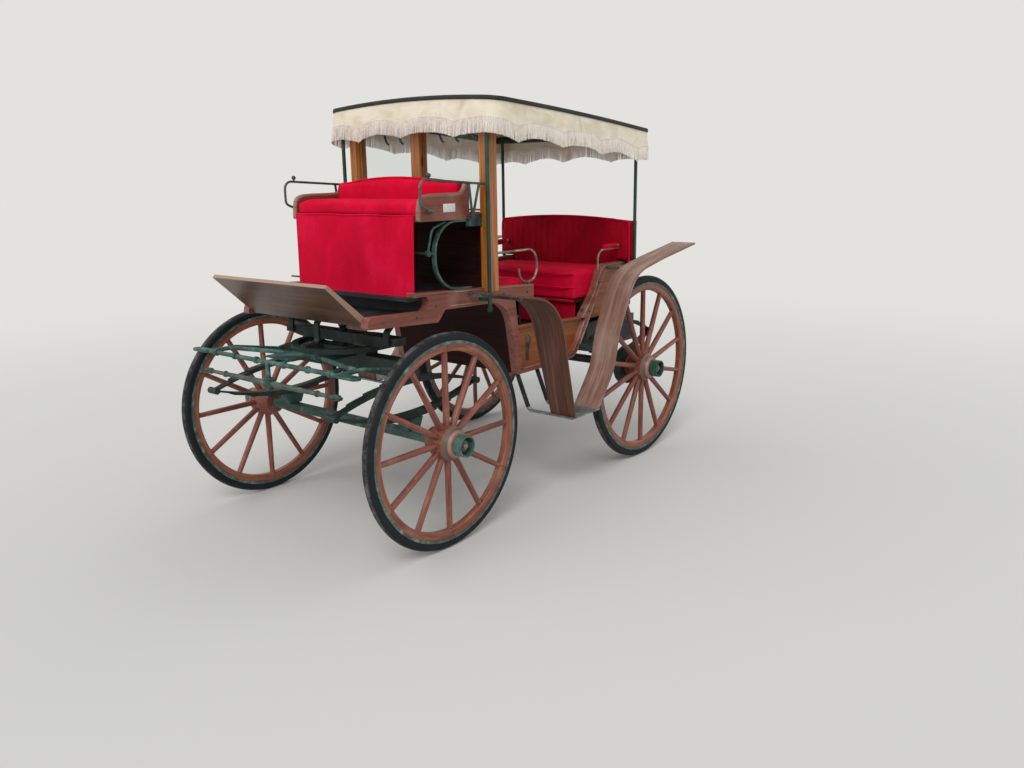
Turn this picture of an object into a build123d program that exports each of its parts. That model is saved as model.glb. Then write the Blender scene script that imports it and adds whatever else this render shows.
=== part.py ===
from build123d import *
from math import asin, atan2, cos, sin
import os

os.makedirs("parts", exist_ok=True)

# A horse-drawn vis-a-vis carriage with a box seat and a fringed canopy.
# X runs across with the left side at +X, the front faces -Y, Z is up from the ground.
# Distances "aft" are measured backwards from the front axle.

# Stance
WHEELBASE = 1748
FRONT_AXLE_Y = -896
REAR_AXLE_Y = FRONT_AXLE_Y + WHEELBASE
TRACK_HALF = 675
FRONT_WHEEL_R = 507
REAR_WHEEL_R = 550

# Wheels
TYRE_WIDTH = 45
TYRE_HEIGHT = 48
TYRE_SHOULDER = 14
CHANNEL_BASE = 4
CHANNEL_WALL = 4
CHANNEL_LIP = 14
FELLOE_DEPTH = 35
FELLOE_WIDTH = 40
FELLOE_CHAMFER = 7
HUB_SEAT_R = 82
HUB_SEAT_HALF = 36
HUB_SHOULDER = 12
HUB_INNER_END = -85
HUB_INNER_R = 60
HUB_OUTER_END = 75
HUB_OUTER_R = 58
HUB_CAP_R = 50
HUB_CAP_WALL = 7
HUB_CAP_END = 126
SPOKE_WIDTH = 30
SPOKE_DEPTH = 34
SPOKE_TAPER = 0.35
SPOKE_SINK = 10
FRONT_SPOKES = 12
REAR_SPOKES = 14

# Axles
AXLE_SIDE = 44
AXLE_CHAMFER = 6
AXLE_ARM_R = 22
BEARING_CLEARANCE = 0.08
HUB_SIDE_GAP = 5
NUT_R = 32
NUT_LENGTH = 26
DRUM_R = 115
DRUM_WIDTH = 46
DRUM_WALL = 9
DRUM_HOLE_R = AXLE_ARM_R + 8

# Springs
LEAF_WIDTH = 45
LEAF_THICKNESS = 7
LEAF_COUNT = 4
LEAF_BITE = 0.4
LEAF_STEP = 0.22
SPRING_EYE_R = 16
SPRING_EYE_WIDTH = LEAF_WIDTH + 16
PAD_WIDTH = LEAF_WIDTH + 12
PAD_TOP_HALF = 60
PAD_FOOT_HALF = 36
FRONT_SPRING_X = 441
FRONT_SPRING_HALF = 462
FRONT_SPRING_RISE = 73
FRONT_PAD = 56
REAR_SPRING_X = 505
REAR_SPRING_HALF = 370
REAR_SPRING_RISE = 90
REAR_PAD = 22

# Turntable
BOLSTER_HALF = FRONT_SPRING_X + 34
BOLSTER_DEPTH = 80
BOLSTER_HEIGHT = 80
BOLSTER_END_HEIGHT = 55
BOLSTER_SLOPE = 75
RING_R = 252
RING_WIDTH = 34
RING_THICKNESS = 12
RING_GAP = 0.3
RING_SEAT_HALF = 200
FUTCHELL_X = 120
FUTCHELL_WIDTH = 34
FUTCHELL_FRONT = -262
FUTCHELL_REAR = 235
BED_HALF = 400
BED_DEPTH = 70
BED_HEIGHT = 50
BED_ARCH = 13
BED_IRON_X = 350
BED_IRON_WIDTH = 34
IRON_THICKNESS = 12
KING_BOLT_R = 14
KING_BALL_R = 22

# Draught gear
SPLINTER_AFT = -440
SPLINTER_R = 11
SPLINTER_TIP_R = 5.5
SPLINTER_ROD_HALF = 480
SPLINTER_EYE_X = 579
SPLINTER_EYE_BORE = 9
TONGUE_LENGTH = 130
TONGUE_WIDTH = 48
TONGUE_THICKNESS = 12
BOW_X = 470
BOW_BEND_AFT = -330
BOW_APEX_AFT = -210
BOW_BEND = 45
BOW_R = 900
STAY_R = 10
NOSE_HALF = 100
NOSE_FRONT_AFT = -395
NOSE_REAR_AFT = -232
NOSE_THICKNESS = 6
NOSE_STRUT_X = 70
WHIPPLE_AFT = -453
WHIPPLE_HALF = 500
WHIPPLE_R = 15
WHIPPLE_TIP_R = 8
WHIPPLE_DROP = 95
WHIPPLE_PIN_R = 11
WHIPPLE_BOSS_R = 25
WHIPPLE_GAP = 1
HANGER_WIDTH = 22
HANGER_HEAD = 50
HANGER_THICKNESS = 12
PIN_NUT_R = 19

# Body sides
BODY_HALF = 454
FRAME_THICKNESS = 44
PANEL_THICKNESS = 16
BOARD = 18
SILL_LOW = 1032
SILL_TOP = 1088
BAND_LOW = 1052
BAND_TOP = 1140
HOOK_AFT = 44
HOOK_TOP = BAND_TOP + 26
BAND_END_TOP = BAND_TOP - 22
WELL_LOW = 642
SILL_DEPTH = 34
TOE_FOOT_AFT = -216
TOE_TOP_AFT = -431
TOE_TOP_Z = 1235
DECK_FRONT_AFT = 50
DECK_STEP_AFT = 160
PARTITION_AFT = 540
BENCH_END_AFT = 957
BENCH_END_LOW = 1048
BENCH_RISER_AFT = 880
ARCH_FOOT_AFT = 812
ARCH_CORNER_AFT = ARCH_FOOT_AFT - 74
WELL_REAR_AFT = 1250
LOW_RAIL_FRONT_Z = 893
LOW_RAIL_REAR_Z = 862
LOW_RAIL_WIDTH = 30
LOW_RAIL_HEIGHT = 12
REAR_BENCH_AFT = 1415
BODY_END_AFT = 1950
QUARTER_FOOT_AFT = 1497
LOW_RAIL_END_AFT = QUARTER_FOOT_AFT - 71
QUARTER_LOW = 850
QUARTER_TOP = 1128
QUARTER_RAIL = 37
REAR_BOX_CLEARANCE = 34.5
REAR_BOX_HALF = REAR_SPRING_X - SPRING_EYE_WIDTH / 2 - REAR_BOX_CLEARANCE
REAR_BOX_FRONT = 1505
REAR_BOX_REAR = 2040
REAR_BOX_LOW = 655

# Seats
SEAT_PAN_Z = 1486
SEAT_PAN_T = 22
SEAT_FRONT_AFT = 100
SEAT_REAR_AFT = 445
SEAT_HALF = BODY_HALF + 1
SEAT_ARM_Z = 1596
SEAT_ARM_T = 24
SEAT_SHOULDER_Z = 1650
SEAT_CREST_Z = 1690
SEAT_IRON_X = BODY_HALF - 24
SEAT_IRON_WIDTH = 20
SEAT_BRACKET_LOW = 1450
BOX_CUSHION_T = 70
BOX_BACK_T = 50
REAR_SEAT_Z = 975
REAR_CUSHION_T = 165
FRONT_CUSHION_T = 82
CUSHION_ROUND = 18
SEAT_BACK_HALF = BODY_HALF + 49
SEAT_BACK_Z = 1410
SEAT_BACK_CREST = 1440
BACK_T = 75
SOFT_GAP = 0.3
APRON_T = 8
APRON_TOP = 1504
APRON_LEAN = 14
FALL_T = 10
FALL_LOW = 824
ARM_Z = 1250
ARM_ROD_R = 6
ARM_BALL_R = 11
ARM_PAD_HALF = 22
ARM_PAD_T = 26
LOOP_Z = 1303
LOOP_OVERHANG = 58
LOOP_LENGTH = 157
REAR_ARM_BEND = 60
RAIL_R = 6
RAIL_OFFSET = 28
RAIL_BALL_R = 11

# Partition
PINE_HALF = BODY_HALF + 36
PINE_WIDTH = 48
PINE_DEPTH = 76
PINE_RAIL = 50
PINE_FOOT_Z = 1122
MULLION_HALF = 30
MULLION_INSET = 8
PARTITION_TOP = 1993
BULKHEAD_TOP = 1470
BULKHEAD_T = 16
BULKHEAD_RAIL = 44
GLASS_T = 5
REBATE = 8

# Canopy
ROOF_HALF = 590
ROOF_FRONT_AFT = 500
ROOF_LENGTH = 1440
ROOF_FRONT_Z = 2033
ROOF_SLOPE = 4.3
ROOF_RAIL = 24
ROOF_BAR = 30
ROOF_CORNER_R = 60
ROOF_CROWN = 26
COVER_T = 6
VALANCE_DROP = 172
VALANCE_T = 7
POST_R = 10
POST_X = SEAT_BACK_HALF + POST_R + 2
POST_FOOT_Z = 1040
POST_KNOB_R = 14
POST_CLAMP_HALF = 12
FRONT_POST_AFT = 515
REAR_POST_AFT = 1905

# Mudguards and steps
GUARD_OUT = TRACK_HALF + 155
FRONT_GUARD_WIDTH = 195
REAR_GUARD_WIDTH = 155
FRONT_GUARD_IN = GUARD_OUT - FRONT_GUARD_WIDTH
REAR_GUARD_IN = GUARD_OUT - REAR_GUARD_WIDTH
GUARD_THICKNESS = 10
FRONT_GUARD = ((345, 1146), (676, 1086), (735, 800), (818, 440))
FRONT_GUARD_BENDS = (260, 500)
REAR_GUARD = ((2095, 1273), (1700, 1213), (1400, 1155), (1235, 850), (1180, 650), (1010, 440))
REAR_GUARD_BENDS = (600, 250, 400, 250)
GUARD_IRON_WIDTH = 24
GUARD_IRON_THICKNESS = 14
GUARD_IRON_AFT = 430
GUARD_IRON_TOP = 1128
STEP_THICKNESS = 6
STEP_Z = 462
STEP_WIDTH = 170
STEP_OUT = GUARD_OUT
STEP_IN = STEP_OUT - STEP_WIDTH
STEP_FRONT = 790
STEP_REAR = 1045
STEP_HANGER_INSET = 40
STEP_HANGER_WIDTH = 26
STEP_HANGER_THICKNESS = 10

# Heights and widths that follow from those above
FRONT_SPRING_SEAT = FRONT_WHEEL_R + AXLE_SIDE / 2 + FRONT_PAD
REAR_SPRING_SEAT = REAR_WHEEL_R + AXLE_SIDE / 2 + REAR_PAD
PACK_THICKNESS = (LEAF_COUNT - 0.5) * LEAF_THICKNESS
BOLSTER_LOW = FRONT_SPRING_SEAT + 2 * (FRONT_SPRING_RISE + PACK_THICKNESS)
CARRIER_LOW = REAR_SPRING_SEAT + 2 * (REAR_SPRING_RISE + PACK_THICKNESS)
BOLSTER_TOP = BOLSTER_LOW + BOLSTER_HEIGHT
RING_LOW = BOLSTER_TOP + FUTCHELL_WIDTH - 8
RING_TOP = RING_LOW + RING_THICKNESS
BED_LOW = RING_TOP + RING_GAP + RING_THICKNESS
BED_TOP = BED_LOW + BED_HEIGHT
SPLINTER_Z = BOLSTER_TOP + FUTCHELL_WIDTH / 2 - 4
WHIPPLE_Z = SPLINTER_Z - WHIPPLE_DROP
FLOOR_LOW = SILL_LOW + 6
WELL_FLOOR_LOW = WELL_LOW + 6
INNER_HALF = BODY_HALF - FRAME_THICKNESS
RAIL_TOP = QUARTER_TOP + QUARTER_RAIL
PARTITION_REAR = PARTITION_AFT + PINE_DEPTH
FRONT_BENCH_Z = BENCH_END_LOW + BOARD
ARCH_BEND = 1.08 * (ARCH_CORNER_AFT + 15 - PARTITION_REAR)
SEAT_TOP = SEAT_PAN_Z + SEAT_PAN_T
ARM_X = (INNER_HALF + BODY_HALF) / 2
REAR_ARM_AFT = QUARTER_FOOT_AFT + 127
BACK_FACE_AFT = BODY_END_AFT - BOARD - BACK_T - 1


def aft(distance):
    return FRONT_AXLE_Y + distance


def band_z(distance):
    # The body band's top edge, which falls slightly towards the rear.
    fall = (HOOK_TOP - BAND_END_TOP) / (BENCH_END_AFT - HOOK_AFT)
    return HOOK_TOP - fall * (distance - HOOK_AFT)


def both_sides(shape):
    return Compound(children=[shape, mirror(shape, about=Plane.YZ)])


def pairs(*shapes):
    return Compound(children=[s for shape in shapes for s in (shape, mirror(shape, about=Plane.YZ))])


def block(x0, x1, aft0, aft1, z0, z1):
    size = (x1 - x0, aft1 - aft0, z1 - z0)
    centre = ((x0 + x1) / 2, aft((aft0 + aft1) / 2), (z0 + z1) / 2)
    return Pos(*centre) * Box(*size)


def full_width(aft0, aft1, z0, z1):
    # A board between the two side frames.
    return block(-INNER_HALF, INNER_HALF, aft0, aft1, z0, z1)


def side_plate(outline, x0, x1):
    # A closed outline of (aft, z) corners, extruded across the carriage.
    face = make_face(Polyline(*[(0, aft(a), z) for a, z in outline], close=True))
    return Pos(x0, 0, 0) * extrude(face, amount=x1 - x0, dir=(1, 0, 0))


def rounded_plate(outline, x0, x1):
    # As side_plate, with a radius after each corner's (aft, z).
    corners = [(0, aft(a), z) for a, z, r in outline]
    wire = FilletPolyline(*corners, radius=[r for a, z, r in outline], close=True)
    return Pos(x0, 0, 0) * extrude(make_face(wire), amount=x1 - x0, dir=(1, 0, 0))


def cross_plate(outline, aft0, aft1):
    # A closed outline of (x, z) corners, extruded along the carriage.
    face = make_face(Polyline(*[(x, aft(aft0), z) for x, z in outline], close=True))
    return extrude(face, amount=aft1 - aft0, dir=(0, 1, 0))


def route(points, bend):
    return FilletPolyline(*points, radius=bend) if len(points) > 2 else Line(*points)


def rod(points, radius, bend=0):
    path = route(points, bend)
    return sweep(Plane(origin=path @ 0, z_dir=path % 0) * Circle(radius), path=path)


def strap(points, bend, width, thickness, across=(1, 0, 0)):
    # A flat iron whose width lies along the direction "across".
    path = route(points, bend)
    section = Plane(origin=path @ 0, x_dir=across, z_dir=path % 0) * Rectangle(width, thickness)
    return sweep(section, path=path)


def side_rod(x, points, radius, bend=0):
    # A rod in one upright plane, through (aft, z) points.
    return rod([(x, aft(a), z) for a, z in points], radius, bend)


def side_strap(x, points, bend, width, thickness):
    return strap([(x, aft(a), z) for a, z in points], bend, width, thickness)


def turned(profile):
    # Revolves (x, radius) corners about the X axis.
    face = make_face(Polyline(*[(x, 0, r) for x, r in profile], close=True))
    return revolve(face, axis=Axis.X)


def soft(shape, radius):
    return fillet(shape.edges(), radius)


def crested(half, aft0, aft1, low, shoulder, crest):
    # A seat back whose top edge rises in one arc to its crest.
    outline = [Line((-half, 0, low), (half, 0, low)), Line((half, 0, low), (half, 0, shoulder)),
               ThreePointArc((half, 0, shoulder), (0, 0, crest), (-half, 0, shoulder)),
               Line((-half, 0, shoulder), (-half, 0, low))]
    return Pos(0, aft(aft0), 0) * extrude(make_face(outline), amount=aft1 - aft0, dir=(0, 1, 0))


# Wheels, each built on its own axis and then moved to its place

def tyre(radius):
    base = radius - TYRE_HEIGHT
    half = TYRE_WIDTH / 2
    neck = FELLOE_WIDTH / 2 - 1
    lip = base - CHANNEL_BASE + CHANNEL_LIP
    side = Polyline((-half, 0, radius - TYRE_SHOULDER), (-half, 0, lip + 3), (-neck, 0, lip),
                    (-neck, 0, base), (neck, 0, base), (neck, 0, lip), (half, 0, lip + 3),
                    (half, 0, radius - TYRE_SHOULDER))
    crown = ThreePointArc((half, 0, radius - TYRE_SHOULDER), (0, 0, radius),
                          (-half, 0, radius - TYRE_SHOULDER))
    return revolve(make_face([side, crown]), axis=Axis.X)


def rim(radius):
    base = radius - TYRE_HEIGHT
    felloe_top = base - CHANNEL_BASE
    felloe_low = felloe_top - FELLOE_DEPTH
    half = FELLOE_WIDTH / 2
    neck = half - 1
    flange = neck + CHANNEL_WALL
    lip = felloe_top + CHANNEL_LIP
    return turned([(-half + FELLOE_CHAMFER, felloe_low), (half - FELLOE_CHAMFER, felloe_low),
                   (half, felloe_low + FELLOE_CHAMFER), (half, felloe_top), (flange, felloe_top),
                   (flange, lip), (neck, lip), (neck, base), (-neck, base), (-neck, lip),
                   (-flange, lip), (-flange, felloe_top), (-half, felloe_top),
                   (-half, felloe_low + FELLOE_CHAMFER)])


def hub(radius, spokes):
    bore = AXLE_ARM_R + BEARING_CLEARANCE
    pocket = HUB_CAP_R - HUB_CAP_WALL
    foot = HUB_SEAT_HALF + HUB_SHOULDER
    body = turned([(HUB_INNER_END, bore), (HUB_INNER_END, HUB_INNER_R),
                   (HUB_INNER_END + HUB_SHOULDER, HUB_INNER_R), (-foot, HUB_SEAT_R - HUB_SHOULDER),
                   (-HUB_SEAT_HALF, HUB_SEAT_R), (HUB_SEAT_HALF, HUB_SEAT_R),
                   (foot, HUB_SEAT_R - HUB_SHOULDER), (HUB_OUTER_END, HUB_OUTER_R),
                   (HUB_OUTER_END, HUB_CAP_R), (HUB_CAP_END, HUB_CAP_R), (HUB_CAP_END, pocket),
                   (HUB_OUTER_END, pocket), (HUB_OUTER_END, bore)])
    felloe_low = radius - TYRE_HEIGHT - CHANNEL_BASE - FELLOE_DEPTH
    root = HUB_SEAT_R - SPOKE_SINK
    oval = Ellipse(SPOKE_DEPTH / 2, SPOKE_WIDTH / 2)
    spoke = Pos(0, 0, root) * extrude(oval, amount=felloe_low - root, taper=SPOKE_TAPER)
    reach = Rot(0, 90, 0) * Cylinder(felloe_low - 0.01, 2 * SPOKE_DEPTH)
    for k in range(spokes):
        body += (Rot(360 / spokes * k, 0, 0) * spoke) & reach
    return body


def drum():
    # The rear brake drum, fast on the inner end of its hub.
    end = HUB_INNER_END
    wall = end - DRUM_WALL
    rim_inside = DRUM_R - DRUM_WALL
    return turned([(end, DRUM_HOLE_R), (end, DRUM_R), (end - DRUM_WIDTH, DRUM_R),
                   (end - DRUM_WIDTH, rim_inside), (wall, rim_inside), (wall, DRUM_HOLE_R)])


# name, side, axle Y, tyre radius, spokes, braked
WHEELS = (
    ("front_left", 1, FRONT_AXLE_Y, FRONT_WHEEL_R, FRONT_SPOKES, False),
    ("front_right", -1, FRONT_AXLE_Y, FRONT_WHEEL_R, FRONT_SPOKES, False),
    ("rear_left", 1, REAR_AXLE_Y, REAR_WHEEL_R, REAR_SPOKES, True),
    ("rear_right", -1, REAR_AXLE_Y, REAR_WHEEL_R, REAR_SPOKES, True),
)


def wheels():
    for name, side, axle_y, radius, spokes, braked in WHEELS:
        pieces = {"tyre": tyre(radius), "rim": rim(radius), "hub": hub(radius, spokes)}
        if braked:
            pieces["drum"] = drum()
        for piece, shape in pieces.items():
            placed = Pos(TRACK_HALF, axle_y, radius) * shape
            if side < 0:
                placed = mirror(placed, about=Plane.YZ)
            save("wheel_" + name + "_" + piece, placed)


# Axles and springs

def axle(axle_y, radius, inner_end, spring_x, pad):
    shoulder = TRACK_HALF + inner_end - HUB_SIDE_GAP
    arm_end = TRACK_HALF + HUB_OUTER_END + HUB_SIDE_GAP
    beam = Box(2 * shoulder, AXLE_SIDE, AXLE_SIDE)
    beam = chamfer(beam.edges().filter_by(Axis.X), AXLE_CHAMFER)
    beam += Rot(0, 90, 0) * Cylinder(AXLE_ARM_R, 2 * arm_end)
    seat = AXLE_SIDE / 2
    profile = Polyline((0, -PAD_FOOT_HALF, seat - 1), (0, PAD_FOOT_HALF, seat - 1),
                       (0, PAD_TOP_HALF, seat + pad), (0, -PAD_TOP_HALF, seat + pad), close=True)
    saddle = extrude(make_face(profile), amount=PAD_WIDTH / 2, dir=(1, 0, 0), both=True)
    nut = extrude(RegularPolygon(NUT_R, 6), amount=NUT_LENGTH)
    for side in (-1, 1):
        beam += Pos(side * (arm_end - 0.5), 0, 0) * Rot(0, 90 * side, 0) * nut
        beam += Pos(side * spring_x, 0, 0) * saddle
    return Pos(0, axle_y, radius) * beam


def front_axle():
    return axle(FRONT_AXLE_Y, FRONT_WHEEL_R, HUB_INNER_END, FRONT_SPRING_X, FRONT_PAD)


def rear_axle():
    return axle(REAR_AXLE_Y, REAR_WHEEL_R, HUB_INNER_END - DRUM_WIDTH, REAR_SPRING_X, REAR_PAD)


def leaf(inner_r, outer_r, half_angle):
    # A circular leaf centred on the origin, opening downwards, in the YZ plane.
    def at(r, angle):
        return (0, r * sin(angle), r * cos(angle))
    outline = [ThreePointArc(at(outer_r, -half_angle), at(outer_r, 0), at(outer_r, half_angle)),
               Line(at(outer_r, half_angle), at(inner_r, half_angle)),
               ThreePointArc(at(inner_r, half_angle), at(inner_r, 0), at(inner_r, -half_angle)),
               Line(at(inner_r, -half_angle), at(outer_r, -half_angle))]
    return extrude(make_face(outline), amount=LEAF_WIDTH / 2, dir=(1, 0, 0), both=True)


def leaf_pack(half_length, rise):
    # The half of a spring above its eyes, with the eyes on the Y axis.
    bend_r = (half_length ** 2 + rise ** 2) / (2 * rise)
    sweep_angle = asin(half_length / bend_r)
    pack = None
    for k in range(LEAF_COUNT):
        inner = bend_r - LEAF_THICKNESS / 2 + k * LEAF_THICKNESS - (LEAF_BITE if k else 0)
        outer = bend_r + LEAF_THICKNESS / 2 + k * LEAF_THICKNESS
        one = leaf(inner, outer, sweep_angle * (1 - LEAF_STEP * k))
        pack = one if pack is None else pack + one
    return Pos(0, 0, rise - bend_r) * pack


def springs(x, axle_y, seat_z, half_length, rise):
    upper = leaf_pack(half_length, rise)
    whole = upper + mirror(upper, about=Plane.XY)
    for end in (-1, 1):
        whole += Pos(0, end * half_length, 0) * Rot(0, 90, 0) * Cylinder(SPRING_EYE_R, SPRING_EYE_WIDTH)
    return both_sides(Pos(x, axle_y, seat_z + rise + PACK_THICKNESS) * whole)


def front_springs():
    return springs(FRONT_SPRING_X, FRONT_AXLE_Y, FRONT_SPRING_SEAT, FRONT_SPRING_HALF, FRONT_SPRING_RISE)


def rear_springs():
    return springs(REAR_SPRING_X, REAR_AXLE_Y, REAR_SPRING_SEAT, REAR_SPRING_HALF, REAR_SPRING_RISE)


# Forecarriage

def ring(low):
    flat = Cylinder(RING_R, RING_THICKNESS) - Cylinder(RING_R - RING_WIDTH, RING_THICKNESS * 2)
    return Pos(0, FRONT_AXLE_Y, low + RING_THICKNESS / 2) * flat


def king_bore():
    return Pos(0, FRONT_AXLE_Y, BOLSTER_TOP) * Cylinder(KING_BOLT_R + BEARING_CLEARANCE, 6 * BOLSTER_HEIGHT)


def lower_turntable():
    half_depth = BOLSTER_DEPTH / 2
    end_top = BOLSTER_LOW + BOLSTER_END_HEIGHT
    level = BOLSTER_HALF - BOLSTER_SLOPE
    frame = cross_plate([(-BOLSTER_HALF, BOLSTER_LOW), (BOLSTER_HALF, BOLSTER_LOW), (BOLSTER_HALF, end_top),
                         (level, BOLSTER_TOP), (-level, BOLSTER_TOP), (-BOLSTER_HALF, end_top)],
                        -half_depth, half_depth)
    half_width = FUTCHELL_WIDTH / 2
    futchell = block(-half_width, half_width, FUTCHELL_FRONT, FUTCHELL_REAR, BOLSTER_TOP - 4, RING_LOW)
    for side in (-1, 1):
        frame += Pos(side * FUTCHELL_X, 0, 0) * futchell
    frame += block(-RING_SEAT_HALF, RING_SEAT_HALF, -half_depth, half_depth, BOLSTER_TOP - 1, RING_LOW)
    frame += ring(RING_LOW)
    return frame - king_bore() - splinter_bar()


def splinter_bar():
    # The cross bar with flattened eyes, the bow behind it, its side stays and the whippletree's hanger.
    tip = SPLINTER_EYE_X - TONGUE_WIDTH
    bar = Pos(0, aft(SPLINTER_AFT), SPLINTER_Z) * turned(
        [(-tip, 0), (-tip, SPLINTER_TIP_R), (-SPLINTER_ROD_HALF, SPLINTER_R), (SPLINTER_ROD_HALF, SPLINTER_R),
         (tip, SPLINTER_TIP_R), (tip, 0)])
    tongue = extrude(SlotOverall(TONGUE_LENGTH, TONGUE_WIDTH), amount=TONGUE_THICKNESS / 2, both=True)
    tongue_x = SPLINTER_EYE_X - (TONGUE_LENGTH - TONGUE_WIDTH) / 2
    bore = Cylinder(SPLINTER_EYE_BORE, 4 * TONGUE_THICKNESS)
    for side in (-1, 1):
        bar += Pos(side * tongue_x, aft(SPLINTER_AFT), SPLINTER_Z) * tongue
        bar -= Pos(side * SPLINTER_EYE_X, aft(SPLINTER_AFT), SPLINTER_Z) * bore
    bow = [(-BOW_X, SPLINTER_AFT), (-BOW_X, BOW_BEND_AFT), (0, BOW_APEX_AFT), (BOW_X, BOW_BEND_AFT),
           (BOW_X, SPLINTER_AFT)]
    bar += rod([(x, aft(a), SPLINTER_Z) for x, a in bow], SPLINTER_R, (BOW_BEND, BOW_R, BOW_BEND))
    stay_end = (BOLSTER_HALF - 25, aft(2 - BOLSTER_DEPTH / 2), BOLSTER_LOW + BOLSTER_END_HEIGHT - STAY_R)
    stay = rod([(BOW_X, aft(BOW_BEND_AFT - BOW_BEND), SPLINTER_Z),
                (BOW_X, aft(BOW_BEND_AFT + 30), SPLINTER_Z), stay_end], STAY_R, 60)
    strut = rod([(NOSE_STRUT_X, aft(SPLINTER_AFT), SPLINTER_Z),
                 (NOSE_STRUT_X, aft(NOSE_FRONT_AFT + 8), RING_LOW - NOSE_THICKNESS / 2)], NOSE_THICKNESS)
    for piece in (stay, strut):
        bar += piece
        bar += mirror(piece, about=Plane.YZ)
    bar += block(-NOSE_HALF, NOSE_HALF, NOSE_FRONT_AFT, NOSE_REAR_AFT, RING_LOW - NOSE_THICKNESS, RING_LOW)
    head_low = WHIPPLE_Z + WHIPPLE_R + WHIPPLE_GAP
    face0 = WHIPPLE_AFT - HANGER_THICKNESS / 2
    face1 = WHIPPLE_AFT + HANGER_THICKNESS / 2
    bar += block(-HANGER_WIDTH / 2, HANGER_WIDTH / 2, face0, face1, head_low, SPLINTER_Z)
    bar += block(-HANGER_HEAD / 2, HANGER_HEAD / 2, WHIPPLE_AFT - WHIPPLE_R, WHIPPLE_AFT + WHIPPLE_R,
                 head_low, head_low + HANGER_THICKNESS)
    nut_top = WHIPPLE_Z - WHIPPLE_R - WHIPPLE_GAP
    pin_low = nut_top - HANGER_THICKNESS - 4
    pin_high = head_low + 1
    bar += Pos(0, aft(WHIPPLE_AFT), (pin_low + pin_high) / 2) * Cylinder(WHIPPLE_PIN_R, pin_high - pin_low)
    nut = extrude(RegularPolygon(PIN_NUT_R, 6), amount=-HANGER_THICKNESS)
    return bar + Pos(0, aft(WHIPPLE_AFT), nut_top) * nut


def whippletree():
    bar = turned([(-WHIPPLE_HALF, 0), (-WHIPPLE_HALF, WHIPPLE_TIP_R), (0, WHIPPLE_R),
                  (WHIPPLE_HALF, WHIPPLE_TIP_R), (WHIPPLE_HALF, 0)])
    bar += Cylinder(WHIPPLE_BOSS_R, 2 * WHIPPLE_R)
    bar -= Cylinder(WHIPPLE_PIN_R + BEARING_CLEARANCE, 4 * WHIPPLE_R)
    return Pos(0, aft(WHIPPLE_AFT), WHIPPLE_Z) * bar


def upper_turntable():
    half_depth = BED_DEPTH / 2
    half_iron = IRON_THICKNESS / 2
    foot = BED_HALF - BED_IRON_WIDTH
    arch = RING_R + RING_WIDTH
    frame = cross_plate([(-BED_HALF, BED_LOW + BED_ARCH), (-foot, BED_LOW + BED_ARCH), (-arch, BED_LOW - 1),
                         (arch, BED_LOW - 1), (foot, BED_LOW + BED_ARCH), (BED_HALF, BED_LOW + BED_ARCH),
                         (BED_HALF, BED_TOP), (-BED_HALF, BED_TOP)], -half_depth, half_depth)
    frame += ring(RING_TOP + RING_GAP)
    front = 1 - half_depth - half_iron
    iron = [(front, BED_LOW + BED_ARCH + 4), (front, BED_TOP + 25), (15, FLOOR_LOW - half_iron),
            (120, FLOOR_LOW - half_iron)]
    for side in (-1, 1):
        frame += side_strap(side * BED_IRON_X, iron, 30, BED_IRON_WIDTH, IRON_THICKNESS)
    low = BED_LOW + half_iron - 1
    hook = [(-RING_R, low), (-160, low), (-160, FLOOR_LOW - half_iron), (-60, FLOOR_LOW - half_iron)]
    frame += side_strap(0, hook, 30, BED_IRON_WIDTH, IRON_THICKNESS)
    return frame - king_bore()


def king_bolt():
    low = BOLSTER_LOW - 30
    bolt = Pos(0, FRONT_AXLE_Y, (low + BED_TOP) / 2) * Cylinder(KING_BOLT_R, BED_TOP - low)
    bolt += Pos(0, FRONT_AXLE_Y, BED_TOP + 6) * Cylinder(KING_BALL_R, 12)
    return bolt + Pos(0, FRONT_AXLE_Y, BED_TOP + 12 + KING_BALL_R * 0.8) * Sphere(KING_BALL_R)


# Body

def side_frame():
    # The sill, the band with its hooked front end, the arch post, the low sill and the rear curve,
    # sawn as one S-shaped plate: (aft, z, corner radius).
    rear_low = WELL_LOW + SILL_DEPTH
    notch = QUARTER_LOW + BOARD
    foot = QUARTER_FOOT_AFT
    outline = [
        (-250, SILL_LOW + 4, 10), (-236, SILL_TOP, 26), (140, SILL_TOP - 15, 42), (140, BAND_TOP + 4, 24),
        (HOOK_AFT, BAND_TOP + 4, 3), (HOOK_AFT, HOOK_TOP, 3),
        (BENCH_END_AFT, BAND_END_TOP, 3), (BENCH_END_AFT, BENCH_END_LOW, 3),
        (ARCH_FOOT_AFT - 15, BENCH_END_LOW, 5), (ARCH_FOOT_AFT + 20, rear_low + 124, 60),
        (ARCH_FOOT_AFT + 36, rear_low, 6),
        (foot - 156, rear_low, 162), (foot - 32, notch, 4), (foot - 73, notch, 4),
        (foot + 63, QUARTER_TOP - 118, 200), (foot + 143, RAIL_TOP, 75),
        (BODY_END_AFT, RAIL_TOP, 4), (BODY_END_AFT, QUARTER_TOP, 2),
        (foot + 175, QUARTER_TOP, 10), (foot - 133, WELL_LOW, 200), (ARCH_FOOT_AFT, WELL_LOW, 5),
        (ARCH_CORNER_AFT, BAND_LOW, ARCH_BEND + BOARD), (256, BAND_LOW + 14, 12), (202, SILL_LOW - 21, 14),
    ]
    return rounded_plate(outline, INNER_HALF, BODY_HALF)


def side_frames():
    return both_sides(side_frame())


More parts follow.
